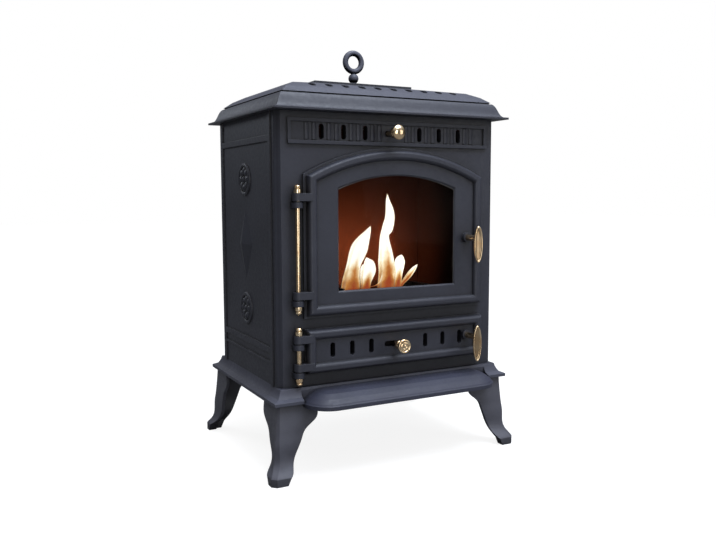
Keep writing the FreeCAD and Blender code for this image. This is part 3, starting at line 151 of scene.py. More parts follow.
def object_place(tree):
    """Place of a point in metres, in the frame of the stove."""
    return add(tree, "ShaderNodeTexCoord").outputs["Object"]


def axes(tree, vector):
    """The three parts of a vector."""
    parts = add(tree, "ShaderNodeSeparateXYZ", {"Vector": vector}).outputs
    return parts["X"], parts["Y"], parts["Z"]


def true_normal(tree):
    """Direction that a face looks in, without bumps."""
    return add(tree, "ShaderNodeNewGeometry").outputs["True Normal"]


def marked(tree, name):
    """Number that a piece carries on its points."""
    return add(tree, "ShaderNodeAttribute", attribute_name=name).outputs["Fac"]


def stretched(tree, place, scale):
    """Place multiplied along each axis, so that a noise on it turns into lines."""
    return add(tree, "ShaderNodeMapping", {"Vector": place, "Scale": scale}).outputs["Vector"]


def noise(tree, place, scale, detail=3.0, roughness=0.55, distortion=0.0):
    """Cloudy noise, with its scale in cells per metre."""
    inputs = {"Vector": place, "Scale": scale, "Detail": detail, "Roughness": roughness,
              "Distortion": distortion}
    return add(tree, "ShaderNodeTexNoise", inputs).outputs["Fac"]


def ramp(tree, factor, stops):
    """Colour ramp with (place, colour) stops."""
    node = add(tree, "ShaderNodeValToRGB", {"Fac": factor})
    elements = node.color_ramp.elements
    while len(elements) < len(stops):
        elements.new(1.0)
    for element, (place, colour) in zip(elements, stops):
        element.position = place
        element.color = colour
    return node.outputs["Color"]


def spread(tree, value, span, onto=RISING):
    """Number carried in proportion from one range onto another, and held at its ends."""
    inputs = {"Value": value, "From Min": span[0], "From Max": span[1], "To Min": onto[0], "To Max": onto[1]}
    return add(tree, "ShaderNodeMapRange", inputs).outputs["Result"]


def maths(tree, operation, *values):
    """Result of one operation on numbers."""
    return add(tree, "ShaderNodeMath", dict(enumerate(values)), operation=operation).outputs["Value"]


def mixed(tree, factor, first, second):
    """Colour between two others."""
    inputs = {MIX_FACTOR: factor, MIX_FIRST: first, MIX_SECOND: second}
    return add(tree, "ShaderNodeMix", inputs, data_type="RGBA").outputs[MIX_RESULT]


def blended(tree, factor, first, second):
    """Shader between two others."""
    return add(tree, "ShaderNodeMixShader", {"Fac": factor, 1: first, 2: second}).outputs["Shader"]


def glowing(tree, colour, strength):
    """Shader that gives off light."""
    return add(tree, "ShaderNodeEmission", {"Color": colour, "Strength": strength}).outputs["Emission"]


def see_through(tree, tint=STUDIO_WHITE):
    """Shader that lets light pass straight on."""
    return add(tree, "ShaderNodeBsdfTransparent", {"Color": tint}).outputs["BSDF"]


def bumped(tree, height, distance, strength, normal=None):
    """Normal bent by a height, over another normal where one is given."""
    inputs = {"Height": height, "Distance": distance, "Strength": strength}
    if normal is not None:
        inputs["Normal"] = normal
    return add(tree, "ShaderNodeBump", inputs).outputs["Normal"]


def shelter(tree, reach, only_local=False):
    """1 in the open, and less where faces within reach hide a point."""
    return add(tree, "ShaderNodeAmbientOcclusion", {"Distance": reach}, samples=SHELTER_SAMPLES,
               only_local=only_local).outputs["AO"]


def band(face, start, end):
    """Range over which something fades, from steps off a face."""
    return face + start, face + end


# Materials

EDGE_ROUNDING = 0.0012
EDGE_SAMPLES = 4
EDGE_TURN = (0.86, 0.995)           # cosine between the rounded and the true normal
CORNER_REACH = 0.050                # shade in corners between castings
NOOK_REACH = 0.007                  # shade in the nooks of one casting
BRASS_SHADE_REACH = 0.006                # painted shade in the dips of turned brass
IRON_SHEEN = 0.45
SHADED_SHEEN = 0.12                 # sheen of castings that lie in the shade of others
SOOT_SHEEN = 0.06
TURNING_STRETCH = (1, 14, 14)       # draws a noise out into lines from side to side
BRUSH_STRETCH = (1, 30, 30)
BURNER_SOOT_SHARE = 0.8
PANE_GLOSS_INDEX = 1.06             # refractive index of the pane's faint gloss
# Fades at the walls of the firebox, and of its soot from brown to black, the black partly soot and partly
# painted shade
FIREBOX_SIDES = band(FRONT_HIGH.x, -0.006, -0.003)
FIREBOX_FRONT = band(FRONT_HIGH.y, -0.00675, 0.00225)
FIREBOX_REAR = band(BACK_FACE, 0.00175, 0.00525)
FIREBOX_TOP = band(FRONT_HIGH.z, 0.0, 0.023)
FIREBOX_FOOT = band(FRONT_LOW.z, 0.008, 0.068)
LOOKS_DOWN = (-0.5, -0.2)           # upright part of the normal on undersides
# Partly soot, partly painted shade: black up high, and towards the side walls away from the fire's light
BLACK_HEIGHT = band(SLOT_TOP, 0.058, 0.248)
BLACK_SIDES = band(FRONT_HIGH.x, -0.0475, 0.0525)


def edge_wear_and_highlight(tree, rounded):
    """1 on sharp outer edges, 0 on flat faces: how far the rounded normal leaves the true one."""
    both = add(tree, "ShaderNodeVectorMath", {0: rounded, 1: true_normal(tree)}, operation="DOT_PRODUCT")
    return spread(tree, both.outputs["Value"], EDGE_TURN, FALLING)


def inside_firebox(tree, place):
    """1 on faces inside the firebox, fading to 0 outside it. Undersides over it count as inside."""
    x, y, z = axes(tree, place)
    upright = axes(tree, true_normal(tree))[2]
    under = spread(tree, upright, LOOKS_DOWN, FALLING)
    mask = spread(tree, maths(tree, "ABSOLUTE", x), FIREBOX_SIDES, FALLING)
    front = spread(tree, y, FIREBOX_FRONT)
    rear = spread(tree, y, FIREBOX_REAR, FALLING)
    top = maths(tree, "MAXIMUM", spread(tree, z, FIREBOX_TOP, FALLING), under)
    foot = spread(tree, z, FIREBOX_FOOT)
    for limit in (front, rear, top, foot):
        mask = maths(tree, "MULTIPLY", mask, limit)
    return mask


def sooted(tree, place, mask, tone):
    """Tone turned sooty by a mask, and black up high and on the side walls, partly soot and partly painted
    shade where the fire's light falls off.
    """
    x, _, z = axes(tree, place)
    upper = spread(tree, z, BLACK_HEIGHT)
    beside = spread(tree, maths(tree, "ABSOLUTE", x), BLACK_SIDES)
    black = maths(tree, "MAXIMUM", upper, beside)
    return mixed(tree, mask, tone, mixed(tree, black, IRON_SOOT, SOOT_AND_SHADE_BLACK))


def cast_iron(name, dark, pale, sheen=IRON_SHEEN):
    """Matte charcoal stove paint over sand cast iron.

    Fine grain, soft mottling, paler edges that are partly rubbed wear and partly painted highlight, painted
    shade in corners and crevices, and soot inside the firebox, darkest up high and at its sides, where it is
    partly painted shade."""
    made, tree, shader = principled(name)
    place = object_place(tree)
    mottle = noise(tree, place, scale=14.0, detail=4.0)
    cloud = noise(tree, place, scale=3.2, detail=2.0)
    grain = noise(tree, place, scale=620.0, detail=2.0, roughness=0.6)
    sand = noise(tree, place, scale=170.0, roughness=0.6)
    rounded = add(tree, "ShaderNodeBevel", {"Radius": EDGE_ROUNDING}, samples=EDGE_SAMPLES).outputs["Normal"]
    tone = mixed(tree, spread(tree, mottle, NOISE_SPAN), dark, pale)
    tone = mixed(tree, spread(tree, cloud, NOISE_SPAN, onto=(0.0, 0.35)), tone, pale)
    # Paler edges: partly rubbed wear, partly a painted highlight.
    patchy = spread(tree, sand, NOISE_SPAN, onto=(0.05, 0.5))
    tone = mixed(tree, maths(tree, "MULTIPLY", edge_wear_and_highlight(tree, rounded), patchy), tone, IRON_WEAR_AND_HIGHLIGHT)
    # Painted shade in corners between castings and in the nooks of one casting.
    corner = spread(tree, shelter(tree, CORNER_REACH), span=(0.30, 0.90), onto=(0.85, 0.0))
    tone = mixed(tree, corner, tone, PAINTED_CREVICE_SHADE)
    nook = spread(tree, shelter(tree, NOOK_REACH, only_local=True), span=(0.45, 0.92), onto=(0.80, 0.0))
    tone = mixed(tree, nook, tone, PAINTED_CREVICE_SHADE)
    soot = inside_firebox(tree, place)
    coarse = bumped(tree, sand, distance=0.0004, strength=0.25, normal=rounded)
    fill(tree, shader, {
        "Base Color": sooted(tree, place, soot, tone),
        "Roughness": spread(tree, sand, NOISE_SPAN, onto=(0.46, 0.62)),
        "Specular IOR Level": spread(tree, soot, RISING, onto=(sheen, SOOT_SHEEN)),
        "Normal": bumped(tree, grain, distance=0.00012, strength=0.35, normal=coarse),
    })
    return made


def polished_brass():
    """Lacquered pale brass with faint turning lines, painted shade in its dips, and more painted shade where
    a piece is marked for it.
    """
    made, tree, shader = principled("polished_brass")
    place = object_place(tree)
    cloud = noise(tree, place, scale=55.0)
    lines = noise(tree, stretched(tree, place, TURNING_STRETCH), scale=90.0)
    tone = mixed(tree, spread(tree, cloud, NOISE_SPAN), BRASS_WARM, BRASS_PALE)
    # Painted shade in the dips of the brass, and on the dishes and stems marked for it.
    painted_shade = spread(tree, shelter(tree, BRASS_SHADE_REACH, only_local=True), span=(0.25, 0.75), onto=(0.60, 0.0))
    tone = mixed(tree, painted_shade, tone, BRASS_SHADE)
    dish = spread(tree, marked(tree, "painted_shade"), RISING, onto=(0.0, 0.6))
    fill(tree, shader, {
        "Base Color": mixed(tree, dish, tone, BRASS_SHADE),
        "Roughness": spread(tree, lines, NOISE_SPAN, onto=(0.12, 0.26)),
        "Metallic": 1.0,
        "Normal": bumped(tree, lines, distance=0.00003, strength=0.05),
    })
    return made


def plated_steel():
    """Zinc plated steel with a dull spangle."""
    made, tree, shader = principled("plated_steel")
    place = object_place(tree)
    spangle = noise(tree, place, scale=130.0, detail=2.0)
    pitting = noise(tree, place, scale=800.0)
    tone = mixed(tree, spread(tree, spangle, NOISE_SPAN), STEEL_GREY, STEEL_PALE)
    fill(tree, shader, {
        "Base Color": sooted(tree, place, inside_firebox(tree, place), tone),
        "Roughness": spread(tree, spangle, NOISE_SPAN, onto=(0.32, 0.5)),
        "Metallic": 0.9,
        "Normal": bumped(tree, pitting, distance=0.00004, strength=0.3),
    })
    return made


def burner_steel():
    """Folded steel that heat has stained brown and blue."""
    made, tree, shader = principled("burner_steel")
    place = object_place(tree)
    stain = noise(tree, place, scale=24.0, detail=4.0, roughness=0.6, distortion=0.6)
    brush = noise(tree, stretched(tree, place, BRUSH_STRETCH), scale=60.0)
    tone = mixed(tree, spread(tree, stain, NOISE_SPAN), BURNER_BROWN, BURNER_BLUE)
    soot = sooted(tree, place, inside_firebox(tree, place), tone)
    fill(tree, shader, {
        "Base Color": mixed(tree, BURNER_SOOT_SHARE, tone, soot),
        "Roughness": spread(tree, brush, NOISE_SPAN, onto=(0.38, 0.55)),
        "Metallic": 0.85,
        "Normal": bumped(tree, brush, distance=0.00005, strength=0.35),
    })
    return made


def door_pane():
    """Clear pane: mostly see-through, with the gloss of its two faces and a trace of soot."""
    made, tree, output = blank("door_pane")
    soot = spread(tree, noise(tree, object_place(tree), scale=9.0), NOISE_SPAN, onto=(0.82, 0.96))
    tint = add(tree, "ShaderNodeCombineColor", {"Red": soot, "Green": soot, "Blue": soot}).outputs["Color"]
    gloss = add(tree, "ShaderNodeBsdfGlossy", {"Roughness": 0.03}).outputs["BSDF"]
    glance = add(tree, "ShaderNodeFresnel", {"IOR": PANE_GLOSS_INDEX}).outputs["Fac"]
    fill(tree, output, {"Surface": blended(tree, glance, see_through(tree, tint), gloss)})
    return made


def knitted_rope():
    """Knitted glass fibre: stitches that follow the piece's own map."""
    made, tree, shader = principled("knitted_rope")
    map_place = add(tree, "ShaderNodeUVMap", uv_map="UVMap").outputs["UV"]
    stitches = {"Vector": map_place, "Scale": 1.0, "Distortion": 1.5, "Detail": 2.0}
    wave = add(tree, "ShaderNodeTexWave", stitches, bands_direction="DIAGONAL").outputs["Fac"]
    fibre = noise(tree, object_place(tree), scale=900.0)
    knit = bumped(tree, wave, distance=0.0004, strength=0.7)
    fill(tree, shader, {
        "Base Color": mixed(tree, wave, ROPE_DARK, ROPE_GREY),
        "Roughness": 0.92,
        "Normal": bumped(tree, fibre, distance=0.0002, strength=0.6, normal=knit),
    })
    return made


def ceramic_wool():
    """White fibre, scorched in patches."""
    made, tree, shader = principled("ceramic_wool")
    place = object_place(tree)
    fibre = noise(tree, place, scale=260.0, detail=5.0, roughness=0.7, distortion=1.2)
    scorch = spread(tree, noise(tree, place, scale=18.0), NOISE_SPAN, onto=(0.0, 0.9))
    fill(tree, shader, {
        "Base Color": mixed(tree, scorch, WOOL_WHITE, WOOL_SOOT),
        "Roughness": 0.95,
        "Normal": bumped(tree, fibre, distance=0.0012, strength=0.8),
    })
    return made


FLAME_STOPS = ((0.0, FLAME_CORE), (0.30, FLAME_ORANGE), (0.58, FLAME_PALE), (0.86, FLAME_WHITE))
FLICKER_SHARE = 0.55
FOOT_FADE = band(SLOT_TOP, -0.006, 0.004)
GLARE_STRENGTH = 0.6


def flame_light():
    """Glowing flame: orange core in the lower middle, white above and beside it, thin pale edge all round."""
    made, tree, output = blank("flame_light")
    place = object_place(tree)
    flicker = noise(tree, place, scale=55.0)
    stirred = maths(tree, "MULTIPLY_ADD", flicker, FLICKER_SHARE, marked(tree, "blaze"))
    hot = spread(tree, stirred, span=(0.42, 1.12))
    edge = marked(tree, "edge")
    rim = spread(tree, edge, span=(0.72, 0.98))
    colour = mixed(tree, rim, ramp(tree, hot, FLAME_STOPS), FLAME_PALE)
    inner = spread(tree, hot, span=(0.25, 1.0), onto=(0.62, 2.0))
    dimmed = spread(tree, edge, span=(0.70, 1.0), onto=(1.0, 0.50))
    glow = glowing(tree, colour, maths(tree, "MULTIPLY", inner, dimmed))
    thin = spread(tree, edge, span=(0.74, 1.0), onto=FALLING)
    height = axes(tree, place)[2]
    foot_thin = spread(tree, height, FOOT_FADE, onto=(0.25, 1.0))
    dense = maths(tree, "MULTIPLY", thin, foot_thin)
    fill(tree, output, {"Surface": blended(tree, dense, see_through(tree), glow)})
    return made


def painted_flame_glare():
    """Faint orange glare round a flame, painted as a glowing shell that is no lamp, fading towards its rim.
    """
    made, tree, output = blank("painted_flame_glare")
    glare_noise = noise(tree, object_place(tree), scale=30.0, detail=2.0)
    inward = spread(tree, marked(tree, "edge"), span=(0.0, 0.96), onto=(0.48, 0.0))
    fade = maths(tree, "MULTIPLY", inward, inward)
    dense = maths(tree, "MULTIPLY", fade, spread(tree, glare_noise, NOISE_SPAN, onto=(0.7, 1.1)))
    glow = glowing(tree, PAINTED_GLARE_COLOUR, GLARE_STRENGTH)
    fill(tree, output, {"Surface": blended(tree, dense, see_through(tree), glow)})
    return made


# Mesh helpers

def smooth_mesh(name, points, faces):
    """Smooth shaded mesh from an array of points and the corner numbers of its faces."""
    mesh = bpy.data.meshes.new(name)
    mesh.from_pydata(points.reshape(-1, 3).tolist(), [], faces)
    mesh.polygons.foreach_set("use_smooth", np.ones(len(mesh.polygons), dtype=bool))
    mesh.update()
    return mesh


def grid_quads(rows, columns):
    """Corner numbers of the quads of a grid: each point, the next round its row, and both one row on."""
    row, column = np.meshgrid(np.arange(rows - 1), np.arange(columns), indexing="ij")
    after = (column + 1) % columns
    here, onward = row * columns, (row + 1) * columns
    return np.stack([here + column, here + after, onward + after, onward + column], axis=-1).reshape(-1, 4)


def grid_mesh(name, points, capped=False):
    """Quad mesh on a grid of points (rows, columns, 3) whose rows close.

    Its map says how far along the rows and round a row each point lies, from 0 to 1."""
    rows, columns = points.shape[:2]
    faces = grid_quads(rows, columns).tolist()
    if capped:
        faces.append(list(range(columns))[::-1])
        faces.append(list(range((rows - 1) * columns, rows * columns)))
    mesh = smooth_mesh(name, points, faces)
    row_share, column_share = np.arange(rows) / (rows - 1), np.arange(columns) / columns
    shares = np.stack(np.meshgrid(row_share, column_share, indexing="ij"), axis=-1)
    loops = np.empty(len(mesh.loops), dtype=np.int32)
    mesh.loops.foreach_get("vertex_index", loops)
    layer = mesh.uv_layers.new(name="UVMap")
    layer.data.foreach_set("uv", shares.reshape(-1, 2)[loops].astype(np.float32).ravel())
    return mesh


def joined(name, surfaces):
    """One mesh from several grids of points, whose corner numbers follow on from each other."""
    sizes = [points.shape[0] * points.shape[1] for points in surfaces]
    starts = np.cumsum([0] + sizes[:-1])
    faces = [grid_quads(*points.shape[:2]) + start for points, start in zip(surfaces, starts)]
    corners = np.concatenate([points.reshape(-1, 3) for points in surfaces])
    return smooth_mesh(name, corners, np.concatenate(faces).tolist())


def mark(mesh, name, values):
    """Number on every point of a mesh."""
    attribute = mesh.attributes.new(name, "FLOAT", "POINT")
    attribute.data.foreach_set("value", values.astype(np.float32).ravel())


def in_scene(name, data):
    """Object of a mesh, lamp or camera, put into the scene."""
    made = bpy.data.objects.new(name, data)
    bpy.context.scene.collection.objects.link(made)
    return made


def place_piece(name, mesh, body, finish, replaced=()):
    """Piece in the scene that rides on a body, with its finish and the nodes that it stands for."""
    piece = in_scene(name, mesh)
    mesh.materials.append(finish)
    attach(piece, body)
    if replaced:
        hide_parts(*replaced)
    return piece


def round_turn(columns):
    """Even angles once round, without the last, which is the first again."""
    return np.linspace(0, 2 * np.pi, columns, endpoint=False)


def softened(values, power):
    """Numbers raised to a power, with their signs kept: under 1 it squares up a circle."""
    return np.sign(values) * np.abs(values) ** power


def smooth_through(stations, count):
    """Smooth curve through rows of numbers, sampled evenly in the station number.

    Between two stations it is a cubic, whose slope at each is half the step between that one's neighbours."""
    rows = np.asarray(stations, float)
    padded = np.vstack([2 * rows[0] - rows[1], rows, 2 * rows[-1] - rows[-2]])
    place = np.linspace(0, len(rows) - 1, count)
    station = np.minimum(place.astype(int), len(rows) - 2)
    share = (place - station)[:, None]
    a, b, c, d = (padded[station + step] for step in range(4))
    square = 2 * a - 5 * b + 4 * c - d
    cube = 3 * b - a - 3 * c + d
    return 0.5 * (2 * b + (c - a) * share + square * share ** 2 + cube * share ** 3)


# Flames

SLOT_SET = 0.016          # slot behind the burner's front
SLOT_DEPTH = 0.024
FLAME_Y = BURNER_FRONT + SLOT_SET + SLOT_DEPTH / 2
FLAME_DEPTH_SHARE = 0.62  # depth of a flame against its width
MAX_FLAME_DEPTH = 0.0105
LEAST_HALF = 0.0001       # half width at a tip
LEAN_HEIGHT = 0.02        # height over the slot at which ellipses stand square to the spine
# Stations of each flame from foot to tip: across, height over the slot, half width, in millimetres
FLAMES = {
    "left_flame": ((-52, -8, 19), (-50, 12, 18), (-48, 26, 15.5), (-44, 45, 14), (-38.5, 60, 16),
                   (-32, 74, 16.5), (-24.5, 87, 12.5), (-17.5, 98, 7.5), (-13, 106, 3.8), (-9.4, 113, 0.2)),
    "left_lobe": ((-21, -8, 9), (-20, 9, 10.5), (-18, 21, 13.5), (-15, 33, 15.5), (-14, 43, 12.5),
                  (-16.5, 50, 6.5), (-19, 56, 0.2)),
    "tall_flame": ((21, -8, 17), (24, 25, 16.5), (23, 44, 16.5), (21.6, 62, 14.2), (19.2, 86, 10),
                   (20.4, 98, 8.8), (25.6, 108, 11), (30.4, 126, 9.8), (29.8, 141, 8), (26.4, 157, 4.2),
                   (24.8, 172, 0.2)),
    "right_lobe": ((45, -8, 8), (48, 21, 9), (50.5, 37, 10.4), (52.5, 47, 10), (54.5, 54, 5.6),
                   (55.5, 58, 0.2)),
    "right_tongue": ((50, -5, 5), (57, 4, 4.6), (66, 12.5, 5.2), (75, 22, 5.4), (84, 31.5, 3.8),
                     (91, 38.5, 0.2)),
    "low_curl": ((-70, 2, 0.3), (-58, 1.5, 1.8), (-34, 1.5, 2.0), (-12, 1.8, 2.2), (2, 3.5, 2.4),
                 (11, 10, 2.4), (15.5, 22, 2.0), (17, 38, 0.2)),
}
# Heights of the orange cores over the slot, in millimetres
CORE_HEIGHTS = {"left_flame": 78, "left_lobe": 44, "tall_flame": 108, "right_lobe": 52, "right_tongue": 60,
                "low_curl": 30}
CORE_SPREAD = 2.70        # half width of the core at the foot against that of its flame
HALOED = ("left_flame", "left_lobe", "tall_flame")    # flames with a halo of painted glare
HALO_REACH = 0.015
HALO_TAPER = (0.25, 1.0)  # stretch of half a sine wave that a halo's reach follows from foot to tip
FLAME_TIP_START = 0.90    # share of the length where a tip starts to thin
HALO_TIP_START = 0.45
FLAME_ROWS = 64
FLAME_COLUMNS = 40


def flame_surface(stations, core_height, grow=0.0):
    """Ellipses square to a smooth spine: across it by the half width, in depth by a share of it.

    A halo grows past its flame by a sine wave of its length. Edge is the ellipse's cosine without its sign,
    drawn to 1 at the tip. Blaze grows outwards and upwards from the core, a cone that narrows up to its
    height."""
    line = smooth_through(stations, FLAME_ROWS) / MM_PER_METRE
    length_share = np.linspace(0, 1, FLAME_ROWS)
    taper = np.sin(np.linspace(*HALO_TAPER, FLAME_ROWS) * np.pi)
    x = line[:, 0]
    z = SLOT_TOP + line[:, 1] + grow * length_share
    half = np.maximum(line[:, 2] + grow * taper, LEAST_HALF)
    along = np.gradient(np.stack([x, z], axis=1), axis=0)
    along /= np.linalg.norm(along, axis=1)[:, None]
    lean = np.clip(line[:, 1] / LEAN_HEIGHT, 0, 1)
    across = np.stack([1 - lean * (1 - along[:, 1]), -lean * along[:, 0]], axis=1)
    depth = np.minimum(half * FLAME_DEPTH_SHARE, MAX_FLAME_DEPTH)
    turn = round_turn(FLAME_COLUMNS)
    side, deep = np.cos(turn), np.sin(turn)
    points = np.empty((FLAME_ROWS, FLAME_COLUMNS, 3))
    points[..., 0] = x[:, None] + across[:, :1] * half[:, None] * side
    points[..., 1] = FLAME_Y + depth[:, None] * deep
    points[..., 2] = z[:, None] + across[:, 1:] * half[:, None] * side
    edge = np.broadcast_to(np.abs(side), points.shape[:2])
    tip_start = HALO_TIP_START if grow else FLAME_TIP_START
    tip = np.clip((length_share - tip_start) / (1 - tip_start), 0, 1)
    blaze = edge / CORE_SPREAD + np.clip(line[:, 1:2], 0, None) / core_height
    return points, 1 - (1 - edge) * (1 - tip[:, None]), blaze


def make_flames(flame, halo):
    """Each flame over the burner's slot, and round the larger ones a halo of painted glare."""
    for name, stations in FLAMES.items():
        layers = [(name, 0.0, flame)]
        if name in HALOED:
            layers.append((name + "_halo", HALO_REACH, halo))
        for part, grow, finish in layers:
            points, edge, blaze = flame_surface(stations, CORE_HEIGHTS[name] / MM_PER_METRE, grow)
            mesh = grid_mesh(part, points, capped=True)
            mark(mesh, "edge", edge)
            mark(mesh, "blaze", blaze)
            place_piece(part, mesh, "stove_body", finish)


# Seals and wool

ROPE_HALF = 0.0027        # half width of a door rope
ROPE_LAY = 0.009          # length of one twist of the rope
ROPE_STRANDS = 3
ROPE_SWELL = 0.10         # depth of the grooves between strands against the half width
ROPE_SAMPLES = 900
TAPE_HALF = 0.0038        # half width of the glass tape
TAPE_SQUARE = 0.35        # power that turns its round profile into a flat one
TAPE_SAMPLES = 400
DOOR_RISE = 0.046         # crown of the fire door's arch over its springing
WINDOW_RISE = 0.0255      # crown of the window's arch
ARC_SAMPLES = 60
SEAL_COLUMNS = 20


def door_loop(low, high, rise, count):
    """Closed line round a door, evenly sampled, and its length.

    Foot and sides are straight. The top is an arc of the given rise, or straight without one."""
    left, right, foot, crown = low.x, high.x, low.z, high.z
    half = (right - left) / 2
    middle = (left + right) / 2
    if rise:
        radius = (rise ** 2 + half ** 2) / (2 * rise)
        swing = math.asin(half / radius)
        turn = np.linspace(swing, -swing, ARC_SAMPLES)
        top = np.stack([middle + radius * np.sin(turn), crown - radius + radius * np.cos(turn)], axis=1)
    else:
        top = np.array([[right, crown], [left, crown]])
    corners = np.vstack([[[left, foot], [right, foot]], top, [[left, foot]]])
    length = np.concatenate([[0], np.cumsum(np.linalg.norm(np.diff(corners, axis=0), axis=1))])
    even = np.linspace(0, length[-1], count, endpoint=False)
    return np.stack([np.interp(even, length, corners[:, i]) for i in range(2)], axis=1), length[-1]


def swept_loop(line, y, half_across, half_deep, square, strands, twists):
    """Closed tube round a loop: a superellipse carried along it, grooved by a cosine wave that twists."""
    ahead = np.roll(line, -1, axis=0) - np.roll(line, 1, axis=0)
    ahead /= np.linalg.norm(ahead, axis=1)[:, None]
    out = np.stack([ahead[:, 1], -ahead[:, 0]], axis=1)
    turn = round_turn(SEAL_COLUMNS)
    side = softened(np.cos(turn), square)
    deep = softened(np.sin(turn), square)
    twisted = round_turn(len(line)) * twists
    wave = 0.5 + 0.5 * np.cos(strands * turn[None, :] - twisted[:, None])
    swell = 1 - ROPE_SWELL * wave if strands else 1.0
    wide = half_across * side[None, :] * swell
    points = np.empty((len(line) + 1, SEAL_COLUMNS, 3))
    points[:-1, :, 0] = line[:, :1] + out[:, :1] * wide
    points[:-1, :, 1] = y + half_deep * deep[None, :] * swell
    points[:-1, :, 2] = line[:, 1:] + out[:, 1:] * wide
    points[-1] = points[0]    # closes the loop
    return points


def make_seal(name, node, body, finish, half, rise, samples, square=1.0, strands=0):
    """Seal that runs round inside the space of its plain solid, as deep as that is."""
    low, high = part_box(node)
    inset = Vector((half, 0, half))
    line, length = door_loop(low + inset, high - inset, rise, samples)
    middle, half_deep = (low.y + high.y) / 2, (high.y - low.y) / 2
    points = swept_loop(line, middle, half, half_deep, square, strands, round(length / ROPE_LAY))
    place_piece(name, grid_mesh(name, points), body, finish, [node])


def make_seals(finish):
    """Twisted ropes in the grooves of both doors, and a flat tape between the glass and its door."""
    make_seal("fire_door_seal", "fire_door_rope", "fire_door", finish, ROPE_HALF, DOOR_RISE, ROPE_SAMPLES,
              strands=ROPE_STRANDS)
    make_seal("ash_door_seal", "ash_door_rope", "ash_door", finish, ROPE_HALF, 0, ROPE_SAMPLES,
              strands=ROPE_STRANDS)
    make_seal("glass_tape", "glass_gasket", "fire_door", finish, TAPE_HALF, WINDOW_RISE, TAPE_SAMPLES,
              square=TAPE_SQUARE)


WOOL_ROWS = 40
WOOL_COLUMNS = 96
WOOL_SIDE_POWER = 0.25    # powers that square up the pad's sides, plan and crown
WOOL_PLAN_POWER = 0.22
WOOL_CROWN_POWER = 0.4
WOOL_RIPPLE = 0.0012
WOOL_WAVES = (160, 190)   # radians of ripple in a metre, across and in depth
WOOL_CLEARANCE = 0.0016   # room for the ripple under the solid's top
POLE_DIGITS = 9           # rounding that closes both poles


def make_wool(finish):
    """Crowned pad: a superellipsoid, nearly a box, with a ripple of two crossed sine waves."""
    low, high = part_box("burner_wool")
    centre = (low + high) / 2
    half = (high - low) / 2
    up = np.linspace(-np.pi / 2, np.pi / 2, WOOL_ROWS)
    turn = round_turn(WOOL_COLUMNS)
    ring = softened(np.round(np.cos(up), POLE_DIGITS), WOOL_SIDE_POWER)[:, None]
    crown = softened(np.sin(up), WOOL_CROWN_POWER)[:, None]
    points = np.empty((WOOL_ROWS, WOOL_COLUMNS, 3))
    points[..., 0] = centre.x + half.x * ring * softened(np.cos(turn), WOOL_PLAN_POWER)
    points[..., 1] = centre.y + half.y * ring * softened(np.sin(turn), WOOL_PLAN_POWER)
    ripple = WOOL_RIPPLE * np.sin(points[..., 0] * WOOL_WAVES[0]) * np.sin(points[..., 1] * WOOL_WAVES[1])
    points[..., 2] = centre.z + (half.z - WOOL_CLEARANCE) * crown + ripple * ring
    points[..., 2] = np.maximum(points[..., 2], low.z)
    mesh = grid_mesh("wool_pad", points)
    pad = place_piece("wool_pad", mesh, "stove_body", finish, ["burner_wool"])


# Turned brass

TURN_COLUMNS = 64
PROFILE_ROWS = 96
# Knob profiles from the root to the face: distance out, radius, in millimetres
DOMED_KNOB = ((0.0, 0.0), (0.0, 4.0), (2.0, 4.2), (3.0, 6.0), (5.5, 8.2), (9.0, 9.0), (12.5, 8.2),
              (15.5, 6.0), (18.0, 5.4), (19.6, 7.2), (20.6, 10.4), (21.6, 12.0), (23.0, 12.4), (24.4, 12.0),
              (25.4, 11.0), (26.6, 9.6), (28.0, 7.2), (29.0, 4.2), (29.4, 0.0))
DISHED_KNOB = ((0.0, 0.0), (0.0, 4.0), (2.0, 4.2), (3.0, 6.0), (5.5, 7.8), (9.0, 8.6), (12.5, 7.8),
               (15.5, 5.8), (18.5, 5.4), (21.0, 7.8), (22.6, 10.8), (24.2, 12.3), (26.0, 12.8), (27.8, 12.4),
               (28.9, 11.4), (29.2, 10.3), (28.6, 9.2), (27.8, 8.3), (27.9, 7.0), (28.6, 5.8), (28.5, 4.5),
               (28.0, 3.4), (28.4, 1.8), (28.8, 0.0))
KNOB_LENGTH = 0.0294
STEM_RADIUS = 4           # in millimetres, as are the next two
STEM_IN_KNOB = 3          # length of the stem inside the knob
STEM_ROUNDING = 0.05
STEM_ROWS = 24
# Hinge end profile from the lug outwards: distance out, radius, in millimetres
CAP_PROFILE = ((0.0, 0.0), (0.0, 5.4), (0.4, 6.0), (1.0, 6.3), (6.0, 6.3), (6.7, 6.0), (7.1, 5.2),
               (7.5, 4.6), (8.0, 4.7), (8.8, 5.3), (10.0, 5.6), (11.6, 5.2), (13.0, 4.0), (13.9, 2.2),
               (14.2, 0.0))
CAP_SOCKET = 0.005        # rod end inside each turned end
# Grip profile from its back to the middle of its face: distance out, inset from the outline, in millimetres
GRIP_PROFILE = ((0.0, 9.6), (0.0, 5.0), (0.3, 2.0), (1.4, 0.5), (3.0, 0.0), (4.4, 0.4), (5.1, 1.2),
                (4.9, 2.2), (4.0, 3.0), (3.0, 4.2), (2.6, 6.4), (2.5, 9.6))
GRIP_THICK = 0.0052
GRIP_ROWS = 72
GRIP_COLUMNS = 96
GRIP_END_POWER = 0.35     # how much more the long ends draw in than the sides
GRIP_CLOSING = 0.004      # half width under which the ends draw in to the middle
DISH_INSET = 0.0022       # inset where the painted shade of the dish begins, past the crest of the rim
DISH_FADE = 0.0015
PIN_BELOW_TOP = 0.022     # height of the neck under the top of the grip
